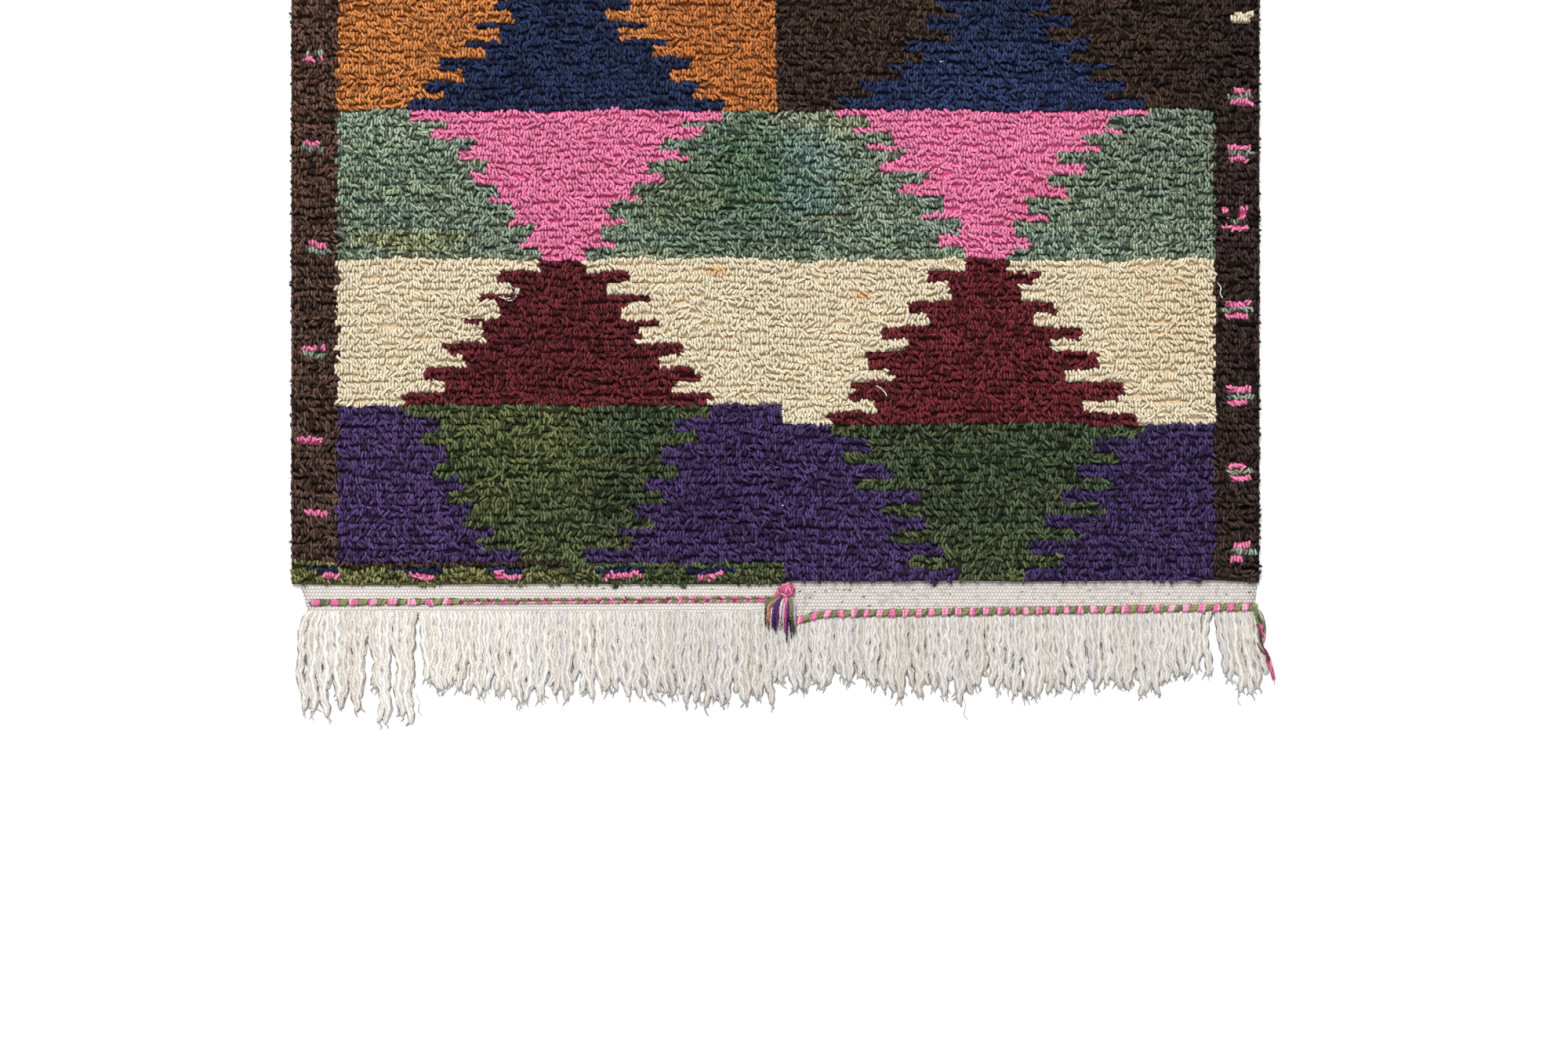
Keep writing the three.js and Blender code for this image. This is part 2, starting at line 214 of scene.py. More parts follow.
def cloth_mesh(side, material):
    """A panel's closed cloth, from web end to web end, thinner at its edges"""
    outward = -1 if side == "left" else 1
    edge = LEFT_EDGE if side == "left" else RIGHT_EDGE
    lower, upper = WEBS[f"lower_{side}"], WEBS[f"upper_{side}"]
    share = np.linspace(0, 1, CLOTH_COLUMNS + 1)
    rows = []
    for web, pile_end in ((lower, PILE_LOWER_END), (upper, PILE_UPPER_END)):
        start_x, start_y = web["start_x"], pile_end
        end_x, end_y = web["outer"]
        for step in range(WEB_ROWS + 1):
            along = step / WEB_ROWS
            outer = np.array([end_x + (start_x - end_x) * along, end_y + (start_y - end_y) * along])
            inner_y = web["seam_y"] + (start_y - web["seam_y"]) * along
            inner = np.array([seam_x(inner_y) + outward * SEAM_HALF_GAP, inner_y])
            rows.append(outer + np.outer(share, inner - outer))
    lower_rows, upper_rows = rows[: WEB_ROWS + 1], rows[WEB_ROWS + 1 :]
    middle_rows = []
    for y in np.linspace(PILE_LOWER_END, PILE_UPPER_END, CLOTH_ROWS + 1)[1:-1]:
        inner_x = seam_x(y) + outward * SEAM_HALF_GAP
        middle_rows.append(np.stack([edge + (inner_x - edge) * share, np.full_like(share, y)], 1))
    grid = np.array(lower_rows + middle_rows + upper_rows[::-1])
    x, y = grid[..., 0], grid[..., 1]
    in_web = (y < PILE_LOWER_END + 1e-6) | (y > PILE_UPPER_END - 1e-6)
    rim = np.zeros(grid.shape[:2], bool)
    rim[[0, -1], :] = True
    rim[:, [0, -1]] = True
    top = np.where(rim, CLOTH_RIM[1], CLOTH_TOP + ripple(CLOTH_RIPPLES, x, y))
    bottom = np.where(rim, CLOTH_RIM[0], np.where(in_web, 0.0, CLOTH_BOTTOM))
    count, across = grid.shape[0] * grid.shape[1], grid.shape[1]
    points = np.concatenate([np.dstack([grid, top]).reshape(-1, 3), np.dstack([grid, bottom]).reshape(-1, 3)])
    faces = []
    for row in range(grid.shape[0] - 1):
        for column in range(across - 1):
            near = row * across + column
            quad = [near, near + 1, near + across + 1, near + across]
            faces += [quad, [count + corner for corner in quad[::-1]]]
    loop = [*range(across), *range(2 * across - 1, count, across)]
    loop += [*range(count - 2, count - across - 1, -1), *range(count - 2 * across, 0, -across)]
    for here, there in zip(loop, loop[1:] + loop[:1]):
        faces.append([here, count + here, count + there, there])
    if side == "right":
        faces = [face[::-1] for face in faces]
    mesh = bpy.data.meshes.new(f"ground_{side}")
    mesh.from_pydata(points.tolist(), [], faces)
    mesh.shade_smooth()
    mesh.materials.append(material)
    return mesh


def web_weave():
    """Group: height of a plain weave, whose warps stand over the gaps of the row before, and its gaps"""
    group, ends, out = new_group(
        "Plain Weave",
        "ShaderNodeTree",
        {"Warp Pitch": ("NodeSocketFloat", WARP_PITCH), "Weft Pitch": ("NodeSocketFloat", WEFT_PITCH)},
        {"Height": "NodeSocketFloat", "Gap": "NodeSocketFloat"},
    )
    place = add_node(group, "ShaderNodeTexCoord").outputs["Object"]
    sway = add_node(group, "ShaderNodeTexNoise", {"Vector": place, "Scale": 130, "Detail": 3})
    offset = vector(group, "SUBTRACT", sway.outputs["Color"], (0.5, 0.5, 0.5))
    offset = scaled(group, offset, WEAVE_SWAY)
    moved = vector(group, "ADD", place, offset)
    axes = add_node(group, "ShaderNodeSeparateXYZ", {0: moved}).outputs
    row = formula(group, "DIVIDE", axes["Y"], ends.outputs["Weft Pitch"])
    column = formula(group, "DIVIDE", axes["X"], ends.outputs["Warp Pitch"])
    column = formula(group, "MULTIPLY_ADD", formula(group, "FLOOR", row), 0.5, column)
    warp = formula(group, "MULTIPLY", column, math.pi)
    weft = formula(group, "MULTIPLY", row, math.pi)
    rib = formula(group, "POWER", formula(group, "ABSOLUTE", formula(group, "SINE", warp)), 0.7)
    rib = formula(group, "MULTIPLY_ADD", rib, 0.65, 0.35)
    dip = formula(group, "POWER", formula(group, "ABSOLUTE", formula(group, "SINE", weft)), 0.45)
    dip = formula(group, "MULTIPLY_ADD", dip, 0.65, 0.35)
    height = formula(group, "MULTIPLY", rib, dip)
    group.links.new(height, out.inputs["Height"])
    group.links.new(remap(group, height, 0.1, 0.8, 1, 0), out.inputs["Gap"])
    return group


def web_cotton():
    """Bare cotton cloth: bleached on the left panel, grey between its threads as painted shade, with pink
    that has run out of the braid"""
    material, tree, shader = new_material("web cotton", 0.92, 0.2)
    weave = add_node(tree, "ShaderNodeGroup", node_tree=web_weave())
    place = add_node(tree, "ShaderNodeTexCoord").outputs["Object"]
    patch = remap(tree, noise(tree, place, 35, 3), 0.5, 0.68, 0, 0.55)
    across = add_node(tree, "ShaderNodeSeparateXYZ", {0: place}).outputs["X"]
    unbleached = remap(tree, across, -0.012, 0.012)
    colour = blend_tones(tree, unbleached, COTTON_WHITE, COTTON_CREAM)
    colour = blend_tones(tree, patch, colour, COTTON_BLUSH)
    mottle = remap(tree, noise(tree, place, 190, 3), 0.50, 0.64, 0, 0.60)
    mottle = formula(tree, "MULTIPLY", mottle, formula(tree, "MULTIPLY_ADD", unbleached, 0.65, 0.35))
    # Grey in the weave's gaps, as painted shade between the threads, and in random mottle
    colour = blend_tones(tree, formula(tree, "MAXIMUM", weave.outputs["Gap"], mottle), colour, COTTON_GREY)
    tree.links.new(colour, shader.inputs["Base Color"])
    emboss(tree, shader, weave.outputs["Height"], 0.0016, 1.0)
    return material


def place_piece(mesh, slot, *nodes):
    """Puts a finished mesh into the scene as a piece of the rug, in place of these solids"""
    piece = bpy.data.objects.new(mesh.name, mesh)
    bpy.context.scene.collection.objects.link(piece)
    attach(piece, "root")
    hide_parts(*nodes)
    return piece


cotton = web_cotton()
ground_left = place_piece(cloth_mesh("left", cotton), "ground_cotton", "panel_left")
ground_right = place_piece(cloth_mesh("right", cotton), "ground_cotton", "panel_right")

# Pile: rows of wool yarn knotted round the warps and left as loops, each of the nine yarns only where the
# pattern needs it. Beaten-down knots make a ridge along each row, with its knots' backs just under the
# cloth, and the loops stand on it and lie over to one side or the other, in small flocks.
YARNS = ["orange", "navy", "dark_brown", "pink", "teal", "cream", "burgundy", "purple", "olive"]
KNOT_PITCH = 0.0037
EDGE_INSET = 0.0012
PILE_TOP = 0.0125
PILE_LUMPS = [(0.00045, 0.190, 0.900), (0.00035, -0.640, 0.230), (0.0003, 0.310, -0.270)]
END_WAVES = [(0.0014, 0.107, 1e9), (0.0015, 0.041, 1e9)]
ROW_SWAY = [(0.0015, 0.330, 0.900), (0.0009, 0.140, -0.210)]
RIM_INSETS = [0, 0.004, 0.013]
RIM_HEIGHTS = [0.0068, 0.0102, 0.0135]
LEFT_BORDER = -0.5695
RIGHT_BORDER = 0.549

# Knotting chart. A band is (ground yarn, motif yarn, middle of its motif across the rug, height of the band,
# steps), from the lower end up, and a step is (rows, knots left of the middle, knots right of it)
LEFT_BANDS = [
    (
        "purple", "olive", -0.294, 0.200,
        [
            (2, 11, 11), (2, 25, 27), (1, 20, 22), (2, 31, 34), (2, 27, 29), (2, 36, 38), (2, 31, 32),
            (2, 41, 43), (3, 37, 38), (2, 45, 49), (2, 39, 42), (2, 52, 54)
        ]
    ),
    (
        "cream", "burgundy", -0.289, 0.187,
        [
            (2, 53, 53), (2, 38, 41), (2, 45, 48), (2, 32, 34), (2, 39, 42), (3, 26, 28), (1, 32, 36),
            (3, 20, 23), (1, 27, 31), (2, 14, 17), (2, 20, 24), (2, 7, 10)
        ]
    ),
    (
        "teal", "pink", -0.284, 0.189,
        [
            (2, 8, 9), (1, 15, 19), (3, 10, 13), (1, 20, 22), (3, 16, 16), (1, 25, 28), (2, 21, 24),
            (2, 30, 35), (2, 25, 30), (2, 36, 42), (2, 31, 35), (2, 45, 49), (1, 39, 42), (2, 52, 55)
        ]
    ),
    (
        "orange", "navy", -0.277, 0.188,
        [
            (2, 54, 54), (1, 41, 42), (2, 49, 46), (2, 35, 36), (2, 43, 43), (2, 28, 29), (1, 36, 35),
            (2, 22, 19), (1, 30, 28), (2, 18, 14), (2, 24, 21), (1, 13, 9), (2, 17, 17), (2, 7, 6), (1, 9, 7)
        ]
    ),
]
RIGHT_BANDS = [
    (
        "purple", "olive", 0.259, 0.200,
        [
            (2, 9, 13), (2, 26, 27), (2, 17, 16), (2, 32, 31), (2, 20, 19), (2, 36, 39), (2, 22, 24),
            (2, 44, 42), (2, 33, 30), (2, 49, 46), (2, 40, 36), (2, 54, 52)
        ]
    ),
    (
        "cream", "burgundy", 0.253, 0.210,
        [
            (2, 53, 53), (2, 36, 35), (3, 45, 48), (2, 31, 29), (3, 40, 40), (2, 26, 22), (2, 34, 33),
            (2, 18, 18), (2, 26, 26), (3, 11, 12), (2, 18, 19), (2, 5, 9)
        ]
    ),
    (
        "teal", "pink", 0.262, 0.190,
        [
            (2, 8, 8), (2, 18, 13), (3, 10, 8), (1, 24, 20), (3, 16, 13), (2, 31, 26), (2, 23, 19),
            (2, 37, 33), (2, 29, 24), (1, 42, 39), (2, 34, 32), (1, 49, 46), (2, 42, 41), (1, 52, 54)
        ]
    ),
    (
        "dark_brown", "navy", 0.265, 0.188,
        [
            (2, 53, 53), (1, 39, 39), (2, 44, 46), (2, 31, 34), (1, 38, 41), (2, 23, 27), (2, 30, 33),
            (2, 15, 19), (2, 23, 27), (1, 10, 13), (2, 18, 21), (1, 7, 9), (2, 14, 16), (2, 4, 5), (1, 8, 8)
        ]
    ),
]
# The right panel's pile starts a little higher. The left one starts with four rows of olive: pink dashes,
# navy ones above them, and a brown line on part of it
RIGHT_START = 0.004
OLIVE_START_ROWS = 4
OLIVE_START_HEIGHT = 0.028
DASHES = [(-0.582, 0.017, 0.009, 0.006), (-0.464, 0.028, 0.017, 0.001), (-0.354, 0.020, 0.015, 0.001),
          (-0.207, 0.032, 0.025, 0.001), (-0.089, 0.027, 0.018, -0.004)]
BROWN_LINE = (-0.570, -0.277)

# Small figures in the borders, as (x, y, rows of knots from the lowest up): p pink, g green, c cream, a dot
# for none
BAR = ["ppppppp.", ".ggggggggg", "pppppppp"]
LEFT_FIGURES = [
    (-0.595, -0.671, ["pppppppp"]), (-0.604, -0.578, ["ppppppppp"]),
    (-0.598, -0.464, ["gggggggg.", "ppppp.pp"]), (-0.595, -0.337, ["ggggggggg", ".pppppp."]),
    (-0.604, -0.205, ["gggggggg", ".pppppp"]), (-0.601, -0.090, ["ppppp..p", ".g..gggg"]),
    (-0.600, 0.030, ["gggggggg", "pppppp."]), (-0.597, 0.148, ["pppppppp"]),
    (-0.602, 0.262, ["gggggggg", ".pppppp"]), (-0.598, 0.380, ["pppp.ppp", "gggggggg"]),
    (-0.601, 0.497, ["pppppp."]), (-0.597, 0.612, ["gggggggg", "pppppp."]), (-0.601, 0.722, ["ppppppp"]),
]
RIGHT_FIGURES = [
    (0.583, -0.723, ["pppp...", ".ggggggggg", ".pppppp"]),
    (0.582, -0.625, ["ppppppp", ".ggggggggg", "pppppp.."]), (0.580, -0.522, BAR),
    (0.579, -0.415, ["pppppppp", "ggggggggggg", "ppppppppp"]),
    (0.576, -0.301, ["ppppppppp", "...ggg...", "..p...pp.", "pp....ppp"]), (0.581, -0.211, BAR),
    (0.583, -0.140, ["pppppppp", "ggggggggg", ".pppppp."]), (0.583, -0.038, ["ccccccc.", ".ccccccc"]),
    (0.580, 0.080, BAR), (0.582, 0.190, ["ppppppp", ".ggggggggg", "pppppp.."]), (0.580, 0.300, BAR),
    (0.579, 0.412, ["ppppppppp", "...ggg...", "..p...pp.", "pp....ppp"]), (0.582, 0.525, BAR),
    (0.581, 0.635, ["ppppppp", ".ggggggggg", "pppppp.."]), (0.580, 0.742, BAR),
]
FIGURE_YARNS = {"p": "pink", "g": "teal", "c": "cream"}
TOOTH_SCATTER = 0.9
BORDER_SCATTER = 0.0032


def row_plan(side):
    """The panel's rows from the lower end up, each as (y, pitch, painted spans), a span being (from x, to x,
    yarn)"""
    bands = LEFT_BANDS if side == "left" else RIGHT_BANDS
    plan = []
    y = PILE_LOWER_END + (RIGHT_START if side == "right" else 0)
    if side == "left":
        pitch = OLIVE_START_HEIGHT / OLIVE_START_ROWS
        starts = [[(-1, 1, "olive")] for _ in range(OLIVE_START_ROWS)]
        for x, navy_half, pink_half, pink_shift in DASHES:
            starts[1].append((x + pink_shift - pink_half, x + pink_shift + pink_half, "pink"))
            starts[2].append((x - navy_half, x + navy_half, "navy"))
        starts[3].append((*BROWN_LINE, "dark_brown"))
        plan += [(y + (row + 0.5) * pitch, pitch, spans, False) for row, spans in enumerate(starts)]
        y += OLIVE_START_HEIGHT
    lower_height = sum(band[3] for band in bands)
    upper_stretch = (PILE_UPPER_END - y - lower_height) / lower_height
    for stretch in (1, upper_stretch):
        for ground, motif, middle, height, steps in bands:
            pitch = height * stretch / sum(step[0] for step in steps)
            for rows, left, right in steps:
                span = (middle - left * KNOT_PITCH, middle + right * KNOT_PITCH, motif)
                for _ in range(rows):
                    plan.append((y + pitch / 2, pitch, [(-1, 1, ground), span], True))
                    y += pitch
    return plan


def knotted_rows(side, rng):
    """Each row as (knots' x, row's y, pitch, yarn numbers), with its borders and their figures"""
    outward = -1 if side == "left" else 1
    edge, border = (LEFT_EDGE, LEFT_BORDER) if side == "left" else (RIGHT_EDGE, RIGHT_BORDER)
    figures = LEFT_FIGURES if side == "left" else RIGHT_FIGURES
    rows = []
    for y, pitch, spans, has_border in row_plan(side):
        width = abs(edge - seam_x(y)) - EDGE_INSET
        count = round(width / KNOT_PITCH)
        x = edge - outward * (EDGE_INSET + width * (np.arange(count) + 0.5) / count)
        yarn = np.zeros(count, int)
        for low, high, name in spans:
            ragged = KNOT_PITCH * np.clip(rng.normal(0, TOOTH_SCATTER, 2), -2, 2)
            yarn[(x > low + ragged[0]) & (x < high + ragged[1])] = YARNS.index(name)
        border_here = border + rng.uniform(-BORDER_SCATTER, BORDER_SCATTER)
        if has_border:
            yarn[(x - border_here) * outward > 0] = YARNS.index("dark_brown")
        for figure_x, figure_y, lines in figures:
            line = int(math.floor((y - figure_y) / pitch + len(lines) / 2))
            if 0 <= line < len(lines):
                width = len(lines[line])
                cell = np.floor((x - figure_x) / KNOT_PITCH + width / 2).astype(int)
                for number, letter in enumerate(lines[line]):
                    if letter in FIGURE_YARNS:
                        yarn[cell == number] = YARNS.index(FIGURE_YARNS[letter])
        order = np.argsort(x)
        rows.append((x[order], y, pitch, yarn[order]))
    return rows


def pile_height(x, y):
    """Top of the pile at a place, lower at its rim and a little lower along the seam"""
    from_side = np.minimum(x - LEFT_EDGE, RIGHT_EDGE - x)
    from_end = np.minimum(y - PILE_LOWER_END, PILE_UPPER_END - y)
    rim = np.interp(np.minimum(from_side, from_end), RIM_INSETS, RIM_HEIGHTS)
    seam = 0.0006 * np.exp(-((x - seam_x(y)) / 0.0035) ** 2)
    return np.minimum(PILE_TOP + ripple(PILE_LUMPS, x, y), rim) - seam


def row_height(x, y):
    """How far a row stands off its straight line, most of all at the pile's two ends"""
    near_end = np.exp(-np.minimum(y - PILE_LOWER_END, PILE_UPPER_END - y) / 0.03)
    return ripple(ROW_SWAY, x, y) * (1 - near_end) + ripple(END_WAVES, x, y) * near_end


RIDGE_SECTION = [(-0.42, 0.0003), (0.42, 0.0003), (0.54, 0.0084), (0.0, 0.0094), (-0.54, 0.0084)]
# Share of the lit colour at each corner of the ridge's section; the rest is painted shade, darkest in the
# valleys
RIDGE_DEPTHS = [0.9, 0.9, 0.22, 0.65, 0.22]
RIDGE_STEP = 24
RIDGE_END = 0.48
KNOTS_A_LOOP = 1.035
END_DRAW = (-0.0018, 0.0030)
FLOCK_TURN = (0.1, 0.50)
FLOCK_SHIFT = 0.0014
LOOP_TURN = 0.27
LOOP_SHIFT = 0.0011
SHIFT_LIMIT = 0.0032
LOOP_SPREAD = 0.0003
TOP_SCATTER = 0.00045
TOP_LIMIT = 0.01345
USUAL_PITCH = 0.0072


def flocks(count, rng):
    """Each loop's turn and its shift along the rug: it leans with its neighbours in a flock of two to six"""
    turns, shifts = np.zeros(count), np.zeros(count)
    start = 0
    while start < count:
        size = rng.integers(2, 7)
        turns[start : start + size] = rng.normal(*FLOCK_TURN)
        shifts[start : start + size] = rng.normal(0, FLOCK_SHIFT)
        start += size
    turns += rng.normal(0, LOOP_TURN, count)
    return turns, np.clip(shifts + rng.normal(0, LOOP_SHIFT, count), -SHIFT_LIMIT, SHIFT_LIMIT)


def stretch_loops(x, row_y, pitch, rng):
    """The loops over one stretch of a row, each as (x, y, top, turn, width, length)"""
    loops = max(1, round(len(x) / KNOTS_A_LOOP))
    spacing = (x[-1] - x[0] + KNOT_PITCH) / loops
    loop_x = x[0] - KNOT_PITCH / 2 + spacing * (np.arange(loops) + 0.5) + rng.normal(0, LOOP_SPREAD, loops)
    turn, shift = flocks(loops, rng)
    loop_y = row_y + row_height(loop_x, row_y) + shift
    if row_y - PILE_LOWER_END < RIGHT_START + pitch:
        loop_y += rng.uniform(*END_DRAW, loops)
    if PILE_UPPER_END - row_y < pitch:
        loop_y -= rng.uniform(*END_DRAW, loops)
    top = np.minimum(pile_height(loop_x, loop_y) + rng.normal(0, TOP_SCATTER, loops), TOP_LIMIT)
    wide = np.full(loops, spacing / KNOT_PITCH)
    return np.stack([loop_x, loop_y, top, turn, wide, np.full(loops, pitch / USUAL_PITCH)], 1)


def add_ridge(ridge, x, row_y, pitch, first, shade):
    """The closed ridge of knots under one stretch of a row, which starts at this knot of the row"""
    rings = max(1, round(len(x) / RIDGE_STEP)) + 1
    ring_x = np.linspace(x[0] - RIDGE_END * KNOT_PITCH, x[-1] + RIDGE_END * KNOT_PITCH, rings)
    ring_y = row_y + row_height(ring_x, row_y)
    low = np.minimum(pile_height(ring_x, ring_y) / PILE_TOP, 1)
    base = len(ridge["points"])
    cell = ridge["cell"][-1] + 1 if ridge["cell"] else 0
    for px, py, share in zip(ring_x, ring_y, low):
        ridge["points"] += [(px, py + side_share * pitch, up * share) for side_share, up in RIDGE_SECTION]
    ridge["shade"] += [shade] * rings * len(RIDGE_SECTION)
    ridge["depth"] += RIDGE_DEPTHS * rings
    knots_each = len(x) / (rings - 1)
    sides = len(RIDGE_SECTION)
    for ring in range(rings - 1):
        for corner in range(sides):
            a = base + ring * sides + corner
            b = base + ring * sides + (corner + 1) % sides
            ridge["faces"].append((a, a + sides, b + sides, b))
            u0, u1 = corner / sides, (corner + 1) / sides
            ridge["cell"].append(cell + ring)
            ridge["local"] += [(u0, 0.13), (u0, 0.87), (u1, 0.87), (u1, 0.13)]
            v0, v1 = first + ring * knots_each, first + (ring + 1) * knots_each
            ridge["strand"] += [(u0, v0), (u0, v1), (u1, v1), (u1, v0)]
    end = base + (rings - 1) * sides
    ridge["faces"] += [tuple(range(base, base + sides)), tuple(range(end + sides - 1, end - 1, -1))]
    ridge["cell"] += [cell, cell + rings - 2]
    for edge_v, strand_v in ((0.0, first), (1.0, first + len(x))):
        round_cap = [(0.5 + 0.4 * math.cos(a), abs(edge_v - 0.06 - 0.05 * math.sin(a)))
                     for a in np.arange(sides) * 2 * math.pi / sides]
        ridge["local"] += round_cap
        ridge["strand"] += [(u, strand_v) for u, _ in round_cap]


rng = np.random.default_rng(7)
RIDGE_LISTS = ["points", "faces", "strand", "local", "shade", "depth", "cell"]
ridges = {yarn: {key_name: [] for key_name in RIDGE_LISTS} for yarn in range(len(YARNS))}
knots = {yarn: [] for yarn in range(len(YARNS))}
for side in ("left", "right"):
    for x, row_y, pitch, yarn in knotted_rows(side, rng):
        ends = [0, *(np.flatnonzero(np.diff(yarn)) + 1), len(x)]
        for first, last in zip(ends[:-1], ends[1:]):
            number = yarn[first]
            knots[number].append(stretch_loops(x[first:last], row_y, pitch, rng))
            add_ridge(ridges[number], x[first:last], row_y, pitch, first, rng.uniform())


LOOP_FACES = 12
LOOP_RADIUS = 0.0021
LOOP_TURNS = 1.1
LOOP_PLIES = 6.0
# Share of the lit colour along a loop from tip to tip; the rest is painted shade
LOOP_DEPTHS = [0.35, 1.0, 1.0, 0.35]
LOOP_SHAPES = [
    [(-0.6, 5.6, -2.4), (-0.7, 2.7, -0.4), (0.8, -2.3, 0.0), (0.5, -5.4, -2.2)],
    [(0.7, 5.4, -2.2), (0.7, 2.5, 0.0), (-0.7, -2.6, -0.4), (-0.6, -5.5, -2.4)],
    [(-0.8, 5.3, -2.5), (0.6, 2.7, -0.2), (0.6, -2.5, -0.2), (-0.9, -5.2, -2.3)],
    [(0.9, 5.3, -2.3), (-0.6, 2.5, -0.1), (-0.5, -2.7, -0.3), (0.9, -5.4, -2.5)],
    [(-1.5, 5.0, -2.2), (-0.3, 2.5, 0.0), (0.3, -2.6, -0.3), (1.6, -5.1, -2.5)],
    [(1.8, 4.6, -2.4), (-0.7, 2.4, 0.1), (-0.6, -2.2, 0.0), (1.9, -4.4, -2.4)],
]


def loop_shape(name, spine):
    """One loop of yarn as it lies on the pile, its top at Z = 0 and both ends going down: a bent three-sided
    spindle, with its way in millimetres"""
    spine = np.array(spine) / 1000
    points = [spine[0]]
    for number in range(1, len(spine) - 1):
        along = spine[number + 1] - spine[number - 1]
        across = np.cross(along, (0, 0, 1))
        across /= np.linalg.norm(across)
        for angle in (math.pi * 5 / 6, math.pi * 3 / 2, math.pi / 6):
            turned = LOOP_RADIUS * (across * math.cos(angle) + np.array((0, 0, 1)) * (math.sin(angle) - 0.5))
            points.append(spine[number] + turned)
    points.append(spine[-1])
    rings = len(spine) - 2
    end = len(points) - 1
    faces, uv = [], []
    for side in range(3):
        left, right = side / 3, (side + 1) / 3
        middle = (left + right) / 2
        step = 1 / (rings + 1)
        here, there = 1 + side, 1 + (side + 1) % 3
        faces.append((0, there, here))
        uv += [(middle, 0), (right, step), (left, step)]
        for ring in range(rings - 1):
            near, far = (ring + 1) * step, (ring + 2) * step
            here, there = 1 + 3 * ring + side, 1 + 3 * ring + (side + 1) % 3
            faces += [(here, there, here + 3), (there, there + 3, here + 3)]
            uv += [(left, near), (right, near), (left, far), (right, near), (right, far), (left, far)]
        here, there = here + 3, there + 3
        faces.append((here, there, end))
        uv += [(left, 1 - step), (right, 1 - step), (middle, 1)]
    mesh = bpy.data.meshes.new(name)
    mesh.from_pydata([tuple(point) for point in points], [], faces)
    for layer in ("strand", "OFBake"):
        mesh.uv_layers.new(name=layer).uv.foreach_set("vector", np.array(uv, np.float32).ravel())
    point_attribute(
        mesh, "depth", "FLOAT", [LOOP_DEPTHS[0], *np.repeat(LOOP_DEPTHS[1:-1], 3), LOOP_DEPTHS[-1]]
    )
    mesh.shade_smooth()
    return bpy.data.objects.new(name, mesh)


def point_attribute(mesh, name, kind, values):
    """Stores one value for each vertex"""
    mesh.attributes.new(name, kind, "POINT").data.foreach_set("value", values)


loop_shapes = bpy.data.collections.new("loop shapes")
for number, spine in enumerate(LOOP_SHAPES):
    loop_shapes.objects.link(loop_shape(f"loop_{number}", spine))


def named(tree, name, kind="FLOAT"):
    """A stored attribute, as a geometry tree reads it"""
    node = add_node(tree, "GeometryNodeInputNamedAttribute", {"Name": name}, data_type=kind)
    return node.outputs["Attribute"]


